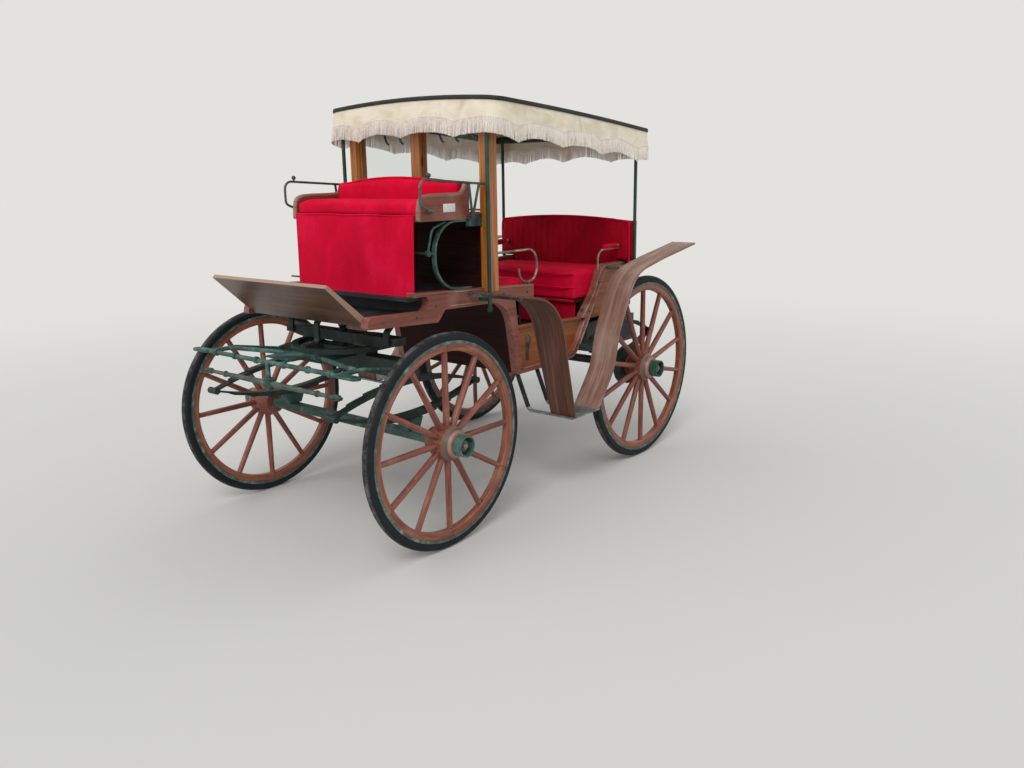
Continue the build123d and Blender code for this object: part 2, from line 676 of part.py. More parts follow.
def floors():
    footboard = full_width(TOE_FOOT_AFT + 30, DECK_STEP_AFT - BOARD, FLOOR_LOW, FLOOR_LOW + BOARD)
    riser = full_width(DECK_STEP_AFT - BOARD, DECK_STEP_AFT, FLOOR_LOW, BAND_TOP)
    deck = full_width(DECK_FRONT_AFT, PARTITION_REAR, BAND_TOP - BOARD, BAND_TOP)
    well = full_width(ARCH_FOOT_AFT + 20, WELL_REAR_AFT, WELL_FLOOR_LOW, WELL_FLOOR_LOW + BOARD)
    return footboard + riser + deck + well


def toe_board():
    slope = atan2(TOE_TOP_Z - FLOOR_LOW, TOE_FOOT_AFT - TOE_TOP_AFT)
    across = (BOARD * sin(slope), BOARD * cos(slope))
    foot = FLOOR_LOW + 2
    return side_plate([(TOE_FOOT_AFT, foot), (TOE_TOP_AFT, TOE_TOP_Z),
                       (TOE_TOP_AFT + across[0], TOE_TOP_Z + across[1]), (TOE_FOOT_AFT + 30, foot + BOARD),
                       (TOE_FOOT_AFT + 30, foot)], -INNER_HALF, INNER_HALF)


def well_walls():
    # Boards bent along the cut-under arch in front and up to the rear seat behind, and the rear floor.
    low = WELL_FLOOR_LOW
    deck_low = BAND_TOP - BOARD
    front = rounded_plate([(PARTITION_REAR - BOARD, deck_low, 0), (PARTITION_REAR, deck_low, 0),
                           (PARTITION_REAR, FRONT_BENCH_Z - 1, 0),
                           (ARCH_CORNER_AFT + 15, FRONT_BENCH_Z - 1, ARCH_BEND),
                           (ARCH_FOOT_AFT + BOARD, low, 0), (ARCH_FOOT_AFT, low, 0),
                           (ARCH_CORNER_AFT, BAND_LOW, ARCH_BEND + BOARD),
                           (PARTITION_REAR - BOARD, BAND_LOW + 5, 0)],
                          -INNER_HALF, INNER_HALF)
    foot = QUARTER_FOOT_AFT
    rear = rounded_plate([(WELL_REAR_AFT, low, 0), (foot - 131, low, 195), (foot, QUARTER_LOW, 0),
                          (foot, QUARTER_LOW + BOARD, 0), (foot - 21, QUARTER_LOW + BOARD, 0),
                          (foot - 152, low + BOARD, 170), (WELL_REAR_AFT, low + BOARD, 0)],
                         -INNER_HALF, INNER_HALF)
    base = full_width(foot, BODY_END_AFT - BOARD, QUARTER_LOW, QUARTER_LOW + BOARD)
    return Compound(children=[front, rear + base])


def side_panels():
    # The low panel with its capping rail, and the quarter beside the rear seat.
    outer = INNER_HALF + PANEL_THICKNESS
    front = ARCH_FOOT_AFT
    foot = QUARTER_FOOT_AFT
    low = rounded_plate([(front + 28, WELL_LOW + SILL_DEPTH, 0), (foot - 156, WELL_LOW + SILL_DEPTH, 162),
                         (foot - 35, QUARTER_LOW + BOARD - 2, 0), (LOW_RAIL_END_AFT, LOW_RAIL_REAR_Z, 0),
                         (front, LOW_RAIL_FRONT_Z, 0)], INNER_HALF, outer)
    low += side_plate([(front, LOW_RAIL_FRONT_Z), (LOW_RAIL_END_AFT, LOW_RAIL_REAR_Z),
                       (LOW_RAIL_END_AFT, LOW_RAIL_REAR_Z + LOW_RAIL_HEIGHT),
                       (front, LOW_RAIL_FRONT_Z + LOW_RAIL_HEIGHT)], INNER_HALF, INNER_HALF + LOW_RAIL_WIDTH)
    quarter = side_plate([(foot - 17, QUARTER_LOW), (BODY_END_AFT, QUARTER_LOW), (BODY_END_AFT, QUARTER_TOP),
                          (foot + 163, QUARTER_TOP)], INNER_HALF, outer)
    frame = side_frame()
    return pairs(low - frame, quarter - frame)


def rear_panel():
    front = BODY_END_AFT - BOARD
    low = full_width(front, BODY_END_AFT, QUARTER_LOW, RAIL_TOP + 1)
    return low + block(-SEAT_BACK_HALF, SEAT_BACK_HALF, front, BODY_END_AFT, RAIL_TOP, SEAT_BACK_Z)


def rear_box():
    # The luggage box hung under the rear seat, hollow, between the springs.
    outer = block(-REAR_BOX_HALF, REAR_BOX_HALF, REAR_BOX_FRONT, REAR_BOX_REAR, REAR_BOX_LOW, CARRIER_LOW)
    inside = REAR_BOX_HALF - BOARD
    inner = block(-inside, inside, REAR_BOX_FRONT + BOARD, REAR_BOX_REAR - BOARD, REAR_BOX_LOW + BOARD,
                  CARRIER_LOW - BOARD)
    return outer - inner


def spring_carriers():
    # The cross iron that sits on the rear springs and carries the body.
    half = REAR_SPRING_X + PAD_WIDTH / 2
    depth = PAD_TOP_HALF / 2
    return block(-half, half, WHEELBASE - depth, WHEELBASE + depth, CARRIER_LOW, QUARTER_LOW)


# Passenger seats

def benches():
    front = full_width(BENCH_RISER_AFT, BENCH_RISER_AFT + BOARD, WELL_FLOOR_LOW + BOARD, BENCH_END_LOW)
    front += full_width(PARTITION_REAR + 1, BENCH_END_AFT, BENCH_END_LOW, FRONT_BENCH_Z)
    rear = full_width(REAR_BENCH_AFT, BODY_END_AFT - BOARD, REAR_SEAT_Z - BOARD, REAR_SEAT_Z)
    rear += full_width(QUARTER_FOOT_AFT - BOARD, QUARTER_FOOT_AFT, QUARTER_LOW + BOARD, REAR_SEAT_Z - BOARD)
    return Compound(children=[front - well_walls(), rear])


def front_bench_cushion():
    low = FRONT_BENCH_Z + SOFT_GAP
    return soft(block(-INNER_HALF + 1, INNER_HALF - 1, PARTITION_REAR + 1, BENCH_END_AFT + 6, low,
                      low + FRONT_CUSHION_T), CUSHION_ROUND)


def rear_bench_cushion():
    low = REAR_SEAT_Z + SOFT_GAP
    return soft(block(-INNER_HALF + 1, INNER_HALF - 1, REAR_BENCH_AFT - 15, BACK_FACE_AFT, low,
                      low + REAR_CUSHION_T), CUSHION_ROUND)


def rear_bench_back():
    low = REAR_SEAT_Z + SOFT_GAP
    rear = BODY_END_AFT - BOARD - SOFT_GAP
    lower = block(-INNER_HALF + 1, INNER_HALF - 1, rear - BACK_T, rear, low, RAIL_TOP + 1)
    return lower + crested(SEAT_BACK_HALF, rear - BACK_T, rear, RAIL_TOP + SOFT_GAP, SEAT_BACK_Z,
                           SEAT_BACK_CREST)


def velvet_fall():
    top = REAR_SEAT_Z - BOARD - SOFT_GAP
    front = REAR_BENCH_AFT + 8
    return block(-INNER_HALF + 1, INNER_HALF - 1, front, front + FALL_T, FALL_LOW, top)


def bench_arms():
    # Rear arm irons with a ball, and the loops beside the front bench.
    iron = [(REAR_ARM_AFT, QUARTER_TOP), (REAR_ARM_AFT, ARM_Z), (BACK_FACE_AFT, ARM_Z)]
    rear = side_rod(ARM_X, iron, ARM_ROD_R, REAR_ARM_BEND)
    rear += Pos(ARM_X, aft(BACK_FACE_AFT - ARM_BALL_R), ARM_Z + ARM_ROD_R + ARM_BALL_R - 1) * Sphere(ARM_BALL_R)
    low = BAND_END_TOP + 14
    end = BENCH_END_AFT + LOOP_OVERHANG
    curl = end - LOOP_LENGTH
    loop = [(PARTITION_REAR - 1, LOOP_Z), (end, LOOP_Z), (end, low), (curl, low), (curl, low + 76)]
    front = side_rod(ARM_X, loop, ARM_ROD_R, (75, 70, 65))
    front += Pos(ARM_X, aft(BENCH_END_AFT - BOARD), low - 10) * Cylinder(ARM_ROD_R + 2, 20)
    frame = side_frame()
    return pairs(rear - frame, front - frame - partition_frame())


def arm_pads():
    low = ARM_Z + ARM_ROD_R + SOFT_GAP
    front = REAR_ARM_AFT + REAR_ARM_BEND + 2
    pad = block(ARM_X - ARM_PAD_HALF, ARM_X + ARM_PAD_HALF, front, BACK_FACE_AFT - 30, low, low + ARM_PAD_T)
    return both_sides(soft(pad, ARM_PAD_T / 3))


# Partition behind the box seat

def partition_frame():
    front = PARTITION_AFT
    rear = PARTITION_REAR
    inset0 = front + MULLION_INSET
    inset1 = rear - MULLION_INSET
    frame = block(-PINE_HALF, PINE_HALF, front, rear, PARTITION_TOP - PINE_RAIL, PARTITION_TOP)
    frame += block(-PINE_HALF, PINE_HALF, inset0, inset1, BULKHEAD_TOP, BULKHEAD_TOP + BULKHEAD_RAIL)
    frame += block(-MULLION_HALF, MULLION_HALF, inset0, inset1, BULKHEAD_TOP, PARTITION_TOP)
    post = block(PINE_HALF - PINE_WIDTH, PINE_HALF, front, rear, BAND_TOP, PARTITION_TOP)
    post += block(BODY_HALF, PINE_HALF, front, rear, PINE_FOOT_Z, BAND_TOP + 1)
    frame += post
    frame += mirror(post, about=Plane.YZ)
    middle = (front + rear) / 2
    opening = PINE_HALF - PINE_WIDTH + REBATE
    return frame - block(-opening, opening, middle - GLASS_T / 2, middle + GLASS_T / 2,
                         BULKHEAD_TOP + BULKHEAD_RAIL - REBATE, PARTITION_TOP - PINE_RAIL + REBATE)


def partition_glass():
    middle = PARTITION_AFT + PINE_DEPTH / 2
    x1 = PINE_HALF - PINE_WIDTH + REBATE
    return both_sides(block(0.5, x1, middle - GLASS_T / 2, middle + GLASS_T / 2,
                            BULKHEAD_TOP + BULKHEAD_RAIL - REBATE, PARTITION_TOP - PINE_RAIL + REBATE))


def bulkhead():
    # The dark panelled wall below the glass, with a sill and one raised frame on each half.
    middle = PARTITION_AFT + PINE_DEPTH / 2
    half = PINE_HALF - PINE_WIDTH
    face = middle - BULKHEAD_T / 2
    panel = block(-half, half, face, face + BULKHEAD_T, BAND_TOP, BULKHEAD_TOP)
    panel += block(-half, half, face - 10, face + BULKHEAD_T + 10, BAND_TOP, BAND_TOP + 26)
    for side in (-1, 1):
        centre = side * half / 2
        for inset, depth in ((50, 6), (58, 10)):
            reach = half / 2 - inset
            raised = block(centre - reach, centre + reach, face - depth, face, BAND_TOP + 20 + inset,
                           BULKHEAD_TOP + 5 - inset)
            panel += raised
        reach = half / 2 - 70
        panel -= block(centre - reach, centre + reach, face - 20, face, BAND_TOP + 90, BULKHEAD_TOP - 65)
    return panel


# Box seat

def box_seat():
    low = SEAT_PAN_Z
    pan = block(-SEAT_HALF, SEAT_HALF, SEAT_FRONT_AFT, SEAT_REAR_AFT, low, SEAT_TOP)
    arm = rounded_plate([(SEAT_FRONT_AFT, low, 8), (SEAT_FRONT_AFT + 12, SEAT_ARM_Z, 60),
                         (SEAT_REAR_AFT - 50, SEAT_ARM_Z, 30), (SEAT_REAR_AFT - 15, SEAT_SHOULDER_Z, 12),
                         (SEAT_REAR_AFT, SEAT_SHOULDER_Z, 0), (SEAT_REAR_AFT, low, 0)],
                        SEAT_HALF - SEAT_ARM_T, SEAT_HALF)
    back = crested(SEAT_HALF, SEAT_REAR_AFT - BOARD, SEAT_REAR_AFT, low, SEAT_SHOULDER_Z, SEAT_CREST_Z)
    return pan + arm + mirror(arm, about=Plane.YZ) + back


def box_cushion():
    low = SEAT_TOP + SOFT_GAP
    half = SEAT_HALF - SEAT_ARM_T - 1
    rear = SEAT_REAR_AFT - BOARD - BOX_BACK_T - 1
    return soft(block(-half, half, SEAT_FRONT_AFT + 2, rear, low, low + BOX_CUSHION_T), CUSHION_ROUND)


def box_back():
    rear = SEAT_REAR_AFT - BOARD - SOFT_GAP
    half = SEAT_HALF - SEAT_ARM_T - 1
    return crested(half, rear - BOX_BACK_T, rear, SEAT_TOP + SOFT_GAP, SEAT_SHOULDER_Z, SEAT_CREST_Z)


def box_apron():
    edge = SEAT_FRONT_AFT - SOFT_GAP
    low = BAND_TOP + 4
    front = edge - APRON_T
    return side_plate([(edge, APRON_TOP), (edge, SEAT_PAN_Z), (edge - APRON_LEAN, low),
                       (front - APRON_LEAN, low), (front, SEAT_PAN_Z), (front, APRON_TOP)],
                      -INNER_HALF + 1, INNER_HALF - 1)


def seat_irons():
    # C-shaped flat irons between the body's band and the seat, each with a stay to a boss, and a cross rod.
    x = SEAT_IRON_X
    half = IRON_THICKNESS / 2
    high = SEAT_PAN_Z - half
    nose = SEAT_FRONT_AFT + 114
    toe = SEAT_REAR_AFT + 25
    curve = [(SEAT_REAR_AFT, high), (nose, high), (nose, band_z(nose) + half), (toe, band_z(toe) + half)]
    iron = side_strap(x, curve, 150, SEAT_IRON_WIDTH, IRON_THICKNESS)
    boss_aft = nose - 42
    boss_z = (SEAT_PAN_Z + BAND_TOP) / 2 + 24
    stay = [(nose + 86, high), (nose - 9, SEAT_PAN_Z - 36), (boss_aft, boss_z), (nose + 2, boss_z - 4)]
    iron += side_rod(x, stay, RAIL_R, (40, 14))
    iron += Pos(x, aft(boss_aft), boss_z) * Rot(0, 90, 0) * Cylinder(2 * RAIL_R + 2, SEAT_IRON_WIDTH)
    iron += block(SEAT_HALF - SEAT_ARM_T, SEAT_HALF, SEAT_REAR_AFT, PARTITION_AFT, SEAT_BRACKET_LOW, SEAT_TOP)
    cross = rod([(-x, aft(boss_aft), boss_z), (x, aft(boss_aft), boss_z)], RAIL_R)
    iron -= side_frame()
    return iron + mirror(iron, about=Plane.YZ) + cross


def seat_rails():
    # A hooped hand rail on each side of the box seat, with a ball in front and a V-shaped stay.
    x = SEAT_HALF + RAIL_OFFSET
    top = SEAT_SHOULDER_Z + 26
    nose = SEAT_FRONT_AFT - 20
    hoop = [(nose + 85, SEAT_TOP + 20), (nose, SEAT_TOP + 52), (nose, top),
            (PARTITION_AFT + 1, SEAT_SHOULDER_Z)]
    rail = side_rod(x, hoop, RAIL_R, (28, 40))
    ball = (nose + 60, top + RAIL_BALL_R + 6)
    rail += side_rod(x, [(ball[0], top - RAIL_R), ball], RAIL_R - 1)
    rail += Pos(x, aft(ball[0]), ball[1]) * Sphere(RAIL_BALL_R)
    foot = SEAT_REAR_AFT - 9
    for head in (SEAT_REAR_AFT - 31, SEAT_REAR_AFT + 43):
        height = top - (head - nose) * (top - SEAT_SHOULDER_Z) / (PARTITION_AFT - nose)
        rail += side_strap(x, [(head, height), (foot, SEAT_PAN_Z + 6)], 0, RAIL_R, 2 * RAIL_R)
    rail += block(SEAT_HALF, x + RAIL_R / 2, nose + 68, nose + 86, SEAT_TOP + 12, SEAT_TOP + 28)
    rail += block(SEAT_HALF, x + RAIL_R / 2, foot - 9, foot + 9, SEAT_PAN_Z, SEAT_PAN_Z + 16)
    return both_sides(rail - partition_frame())


# Canopy: level pieces are built from the front top edge of the roof rail, then tilted

def roof_place():
    return Pos(0, aft(ROOF_FRONT_AFT), ROOF_FRONT_Z) * Rot(-ROOF_SLOPE, 0, 0)


def roof_plan(half, front, rear, corner):
    return Pos(0, (front + rear) / 2, 0) * RectangleRounded(2 * half, rear - front, corner)


def roof_frame():
    outer = extrude(roof_plan(ROOF_HALF, 0, ROOF_LENGTH, ROOF_CORNER_R), amount=-ROOF_RAIL)
    inner = extrude(roof_plan(ROOF_HALF - ROOF_RAIL, ROOF_RAIL, ROOF_LENGTH - ROOF_RAIL,
                              ROOF_CORNER_R - ROOF_RAIL), amount=-ROOF_RAIL)
    frame = outer - inner
    for station in (FRONT_POST_AFT - ROOF_FRONT_AFT, ROOF_LENGTH / 2, REAR_POST_AFT - ROOF_FRONT_AFT):
        frame += Pos(0, station, -ROOF_RAIL / 2) * Box(2 * ROOF_HALF - ROOF_RAIL, ROOF_BAR, ROOF_RAIL)
    return roof_place() * (frame & outer)


def crown_z(x):
    # Height of the cover's underside above the rail, zero at the roof's sides.
    bend = (ROOF_HALF ** 2 + ROOF_CROWN ** 2) / (2 * ROOF_CROWN)
    return (bend ** 2 - x ** 2) ** 0.5 - (bend - ROOF_CROWN)


def roof_cover():
    reach = ROOF_HALF + 40
    edge = crown_z(reach)
    top = edge + COVER_T
    outline = [ThreePointArc((-reach, 0, edge), (0, 0, ROOF_CROWN), (reach, 0, edge)),
               Line((reach, 0, edge), (reach, 0, top)),
               ThreePointArc((reach, 0, top), (0, 0, ROOF_CROWN + COVER_T), (-reach, 0, top)),
               Line((-reach, 0, top), (-reach, 0, edge))]
    sheet = Pos(0, -10, 0) * extrude(make_face(outline), amount=ROOF_LENGTH + 20, dir=(0, 1, 0))
    plan = extrude(roof_plan(ROOF_HALF - 1, 1, ROOF_LENGTH - 1, ROOF_CORNER_R - 1), amount=200)
    plan = Pos(0, 0, -20) * plan
    return roof_place() * (Pos(0, 0, SOFT_GAP) * (sheet & plan))


def valance():
    gap = SOFT_GAP
    outer = roof_plan(ROOF_HALF + gap + VALANCE_T, -gap - VALANCE_T, ROOF_LENGTH + gap + VALANCE_T,
                      ROOF_CORNER_R + gap + VALANCE_T)
    inner = roof_plan(ROOF_HALF + gap, -gap, ROOF_LENGTH + gap, ROOF_CORNER_R + gap)
    return roof_place() * extrude(outer - inner, amount=-VALANCE_DROP)


def above_roof():
    space = Box(3 * ROOF_HALF, 2 * ROOF_LENGTH, ROOF_HALF)
    return roof_place() * Pos(0, ROOF_LENGTH / 2, ROOF_HALF / 2 - ROOF_RAIL) * space


def canopy_posts():
    # Round posts clamped to the body's band and to the quarter rail, each ending below in a knob.
    posts = []
    for place, foot, clamp_low, clamp_top in (
            (FRONT_POST_AFT, POST_FOOT_Z, BAND_LOW + 30, BAND_TOP - 30),
            (REAR_POST_AFT, QUARTER_TOP - 14, QUARTER_TOP + 2, RAIL_TOP - 2)):
        post = side_rod(POST_X, [(place, foot), (place, ROOF_FRONT_Z)], POST_R)
        post += Pos(POST_X, aft(place), foot) * Sphere(POST_KNOB_R)
        post += block(BODY_HALF, POST_X, place - POST_CLAMP_HALF, place + POST_CLAMP_HALF, clamp_low,
                      clamp_top)
        posts.append(post - above_roof())
    return pairs(*posts)


# Mudguards and steps

def guard_strip(path, bends, inner, outer):
    return side_strap((inner + outer) / 2, path, bends, outer - inner, GUARD_THICKNESS)


def front_guard():
    # Wide over the wheel and narrowing on its inner side towards the step.
    strip = guard_strip(FRONT_GUARD, FRONT_GUARD_BENDS, FRONT_GUARD_IN, GUARD_OUT)
    wide = FRONT_GUARD[1][1]
    plan = cross_plate([(FRONT_GUARD_IN, 2 * wide), (FRONT_GUARD_IN, wide), (REAR_GUARD_IN, STEP_Z),
                        (GUARD_OUT, STEP_Z), (GUARD_OUT, 2 * wide)],
                       FRONT_GUARD[0][0] - 50, FRONT_GUARD[-1][0] + 50)
    return strip & plan


def rear_guard():
    strip = guard_strip(REAR_GUARD, REAR_GUARD_BENDS, REAR_GUARD_IN, GUARD_OUT)
    return strip - block(0, 2 * GUARD_OUT, STEP_FRONT, WHEELBASE, 0, STEP_Z)


def mudguards():
    return pairs(front_guard(), rear_guard())


def guard_irons():
    # A flat iron under the front guard, and a bent one from the quarter rail up to the rear guard.
    half = GUARD_IRON_WIDTH / 2
    front = block(BODY_HALF, GUARD_OUT - 50, GUARD_IRON_AFT - half, GUARD_IRON_AFT + half,
                  GUARD_IRON_TOP - GUARD_IRON_THICKNESS, GUARD_IRON_TOP)
    rear_aft = REAR_GUARD[1][0]
    low = QUARTER_TOP + 7
    upright = REAR_GUARD_IN + 25
    rear = cross_plate([(BODY_HALF, low), (upright, low), (upright, REAR_GUARD[1][1]),
                        (upright - GUARD_IRON_THICKNESS, REAR_GUARD[1][1]),
                        (upright - GUARD_IRON_THICKNESS, low + GUARD_IRON_THICKNESS),
                        (BODY_HALF, low + GUARD_IRON_THICKNESS)], rear_aft - half, rear_aft + half)
    return pairs(front - front_guard(), rear - rear_guard())


def steps():
    plate = block(STEP_IN, STEP_OUT, STEP_FRONT, STEP_REAR, STEP_Z - STEP_THICKNESS, STEP_Z)
    low = STEP_Z - STEP_THICKNESS - STEP_HANGER_THICKNESS / 2
    for distance in (STEP_FRONT + STEP_HANGER_INSET, STEP_REAR - STEP_HANGER_INSET):
        y = aft(distance)
        bends = [(BODY_HALF - 20, y, WELL_LOW + 1), (BODY_HALF + 60, y, low), (STEP_OUT - 20, y, low)]
        plate += strap(bends, 40, STEP_HANGER_WIDTH, STEP_HANGER_THICKNESS, (0, 1, 0))
    return both_sides(plate - side_frame())


def save(name, shape):
    export_step(shape, os.path.join("parts", name + ".step"))


PIECES = (
    front_axle, rear_axle, front_springs, rear_springs, lower_turntable, splinter_bar, whippletree,
    upper_turntable, king_bolt, spring_carriers, side_frames, floors, toe_board, well_walls,
    side_panels, rear_panel, rear_box,
    benches, front_bench_cushion, rear_bench_cushion, rear_bench_back, velvet_fall, bench_arms, arm_pads,
    partition_frame, partition_glass, bulkhead, box_seat, box_cushion, box_back, box_apron, seat_irons,
    seat_rails, roof_frame, roof_cover, valance, canopy_posts, mudguards, guard_irons, steps,
)

wheels()
for piece in PIECES:
    save(piece.__name__, piece())
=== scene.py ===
import contextlib
import math
import random

import bpy
from mathutils import Matrix, Vector


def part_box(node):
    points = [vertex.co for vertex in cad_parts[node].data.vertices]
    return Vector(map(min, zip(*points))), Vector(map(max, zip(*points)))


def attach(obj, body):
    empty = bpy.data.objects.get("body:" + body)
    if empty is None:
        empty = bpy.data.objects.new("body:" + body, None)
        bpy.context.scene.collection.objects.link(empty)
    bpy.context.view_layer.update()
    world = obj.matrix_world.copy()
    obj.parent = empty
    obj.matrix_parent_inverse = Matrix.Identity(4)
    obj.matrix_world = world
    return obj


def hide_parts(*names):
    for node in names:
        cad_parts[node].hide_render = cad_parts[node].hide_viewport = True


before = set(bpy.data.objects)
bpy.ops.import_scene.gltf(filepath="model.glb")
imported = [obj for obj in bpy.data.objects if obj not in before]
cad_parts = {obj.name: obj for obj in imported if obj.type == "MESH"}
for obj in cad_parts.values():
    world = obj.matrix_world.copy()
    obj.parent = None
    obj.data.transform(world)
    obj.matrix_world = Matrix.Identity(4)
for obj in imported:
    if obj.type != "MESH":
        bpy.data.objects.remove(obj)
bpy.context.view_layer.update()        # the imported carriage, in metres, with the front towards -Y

scene = bpy.context.scene
scene.view_settings.view_transform = "Standard"
frontAxle = (-0.896, 0.507)        # y and z of each axle
rearAxle = (0.852, 0.550)


class Wire:
    # A shader socket that adds, scales and compares like a number
    def __init__(self, finish, socket):
        self.finish = finish
        self.socket = socket

    def worked(self, operation, other=0.0):
        return self.finish.node("Math", {0: self, 1: other}, {"operation": operation})

    def __add__(self, other):
        return self.worked("ADD", other)

    __radd__ = __add__

    def __sub__(self, other):
        return self.worked("SUBTRACT", other)

    def __rsub__(self, other):
        return self.finish.node("Math", {0: other, 1: self}, {"operation": "SUBTRACT"})

    def __mul__(self, other):
        return self.worked("MULTIPLY", other)

    def __abs__(self):
        return self.worked("ABSOLUTE")


class Finish:
    # One material, or the sky. node() makes any node from its type, its sockets' values, colour
    # codes or wires, and its settings.
    def __init__(self, name, owner=None):
        self.owner = owner or bpy.data.materials.new(name)
        self.owner.use_nodes = True
        self.tree = self.owner.node_tree
        self.tree.nodes.clear()

    def node(self, kind, sockets=None, settings=None, out=0):
        made = self.tree.nodes.new("ShaderNode" + kind)
        for key, value in (settings or {}).items():
            if key == "stops":
                self.setStops(made.color_ramp, value)
            else:
                setattr(made, key, value)
        for key, value in (sockets or {}).items():
            if isinstance(value, Wire):
                self.tree.links.new(value.socket, made.inputs[key])
            else:
                made.inputs[key].default_value = tint(value) if isinstance(value, str) else value
        return Wire(self, made.outputs[out]) if made.outputs else None

    def setStops(self, ramp, stops):
        while len(ramp.elements) < len(stops):
            ramp.elements.new(0.5)
        for element, (position, colour) in zip(ramp.elements, stops):
            element.position = position
            element.color = tint(colour)

    def place(self, stretch=(1, 1, 1), centre=(0, 0, 0)):
        where = self.node("TexCoord", out="Object")
        shift = self.node("VectorMath", {0: where, 1: centre}, {"operation": "SUBTRACT"})
        return self.node("Mapping", {"Vector": shift, "Scale": stretch})

    def noise(self, scale, detail, rough, warp=0.0, vector=None):
        return self.node("TexNoise", {"Vector": vector or self.place(), "Scale": scale,
                                      "Detail": detail, "Roughness": rough, "Distortion": warp})

    def step(self, value, low, high):
        return self.node("MapRange", {"Value": value, "From Min": low, "From Max": high},
                         {"interpolation_type": "SMOOTHSTEP"})

    def ramp(self, value, *stops):
        return self.node("ValToRGB", {"Fac": value}, {"stops": stops})

    def mix(self, factor, first, second):
        return self.node("Mix", {0: factor, 6: first, 7: second}, {"data_type": "RGBA"}, out=2)

    def split(self, vector):
        return [self.node("SeparateXYZ", {0: vector}, out=axis) for axis in range(3)]

    def bump(self, height, distance, strength):
        return self.node("Bump", {"Height": height, "Distance": distance, "Strength": strength})

    def close(self, colour, roughness, **others):
        sockets = {"Base Color": colour, "Roughness": roughness}
        sockets.update({key.replace("_", " "): value for key, value in others.items()})
        shader = self.node("BsdfPrincipled", sockets)
        self.node("OutputMaterial", {"Surface": shader})
        return self.owner


def tint(code):
    # A colour as on a paint card, turned to the linear values that a shader takes
    parts = [int(code[k:k + 2], 16) / 255 for k in (0, 2, 4)]
    return tuple(p / 12.92 if p <= 0.04045 else ((p + 0.055) / 1.055) ** 2.4 for p in parts) + (1.0,)


def fadedWood(name, colours, grain, rough=0.45, coat=0.15, wear=0.35, seed=0.0, paleFrom=None,
              shine=0.5):
    # Painted or varnished wood: fine grain along one axis, broad fading, small chips.
    # The colours run from the deepest to the worn one.
    dark, middle, light, worn = colours
    f = Finish(name)
    stretch = {"x": (3, 70, 70), "y": (70, 3, 70)}[grain]
    fibre = f.noise(1.0, 5, 0.65, 0.4, f.place(stretch, (seed, seed, seed)))
    streak = f.noise(1.0, 2, 0.5, 1.2, f.place([s * 0.22 for s in stretch], (seed, 0, 0)))
    broad = f.noise(4.5, 3, 0.55)
    chips = f.noise(85, 3, 0.6)
    colour = f.ramp(fibre * 0.55 + streak * 0.45, (0.30, dark), (0.50, middle), (0.72, light))
    fade = f.step(broad, 0.50, 0.78)
    colour = f.mix(fade * wear, colour, worn)
    chipped = f.step(chips, 0.69, 0.75)
    colour = f.mix(chipped * wear, colour, worn)
    if paleFrom:
        # Paint drawn paler along the board's outer edges, from this far out and this high up: rubbed
        # paint together with a painted highlight where light catches the edges
        across, back, up = f.split(f.place())
        out, top = paleFrom
        sides = f.step(abs(across), out - 0.003, out)
        edges = sides.worked("MAXIMUM", f.step(up, top - 0.003, top))
        colour = f.mix(edges * 0.8, colour, "a9826f")
    roughness = rough + fade * 0.2 + fibre * 0.1
    height = fibre * 0.6 + chipped * -0.5
    return f.close(colour, roughness, Coat_Weight=coat, Coat_Roughness=0.25,
                   Specular_IOR_Level=shine, Normal=f.bump(height, 0.0012, 0.35))


def paintedIron(name, colours, rough=0.42, rust=0.35, shine=0.0, scuff=0.35):
    # Brushed-on paint over iron, rubbed lighter in places and broken by small rust spots.
    # The colours are the deep paint, the paint, the rubbed paint and the rust.
    deep, paint, rubbed, rusty = colours
    f = Finish(name)
    broad = f.noise(9, 4, 0.6, 0.6)
    grit = f.noise(60, 4, 0.7)
    spots = f.noise(28, 5, 0.72, 0.3)
    colour = f.ramp(broad, (0.34, deep), (0.54, paint), (0.80, rubbed))
    colour = f.mix(f.step(grit, 0.52, 0.72) * scuff, colour, rubbed)
    bare = f.step(spots, 0.60, 0.66)
    colour = f.mix(bare * rust, colour, rusty)
    return f.close(colour, rough + grit * 0.2 + bare * 0.2, Metallic=shine,
                   Normal=f.bump(grit * 0.5 + bare * -0.6, 0.0012, 0.5))


def aboutAxle(f, axle):
    # Distance from a wheel's axle, angle round it, and the place across the wheel
    across, back, up = f.split(f.place(centre=(0, axle[0], axle[1])))
    away = (back * back + up * up).worked("SQRT")
    return away, back.worked("ARCTAN2", up), abs(across)


# Where the painted parts of a wheel begin: "ring", "flange" and "nave" across the carriage,
# "channel" outwards from the rim's foot, and the others outwards from the axle
hubSizes = {"ring": 0.7505, "ringRim": 0.060, "flange": 0.7125, "flangeFoot": 0.064,
            "flangeRim": 0.0825, "nave": 0.7135, "naveRim": 0.0645, "channel": 0.0345}


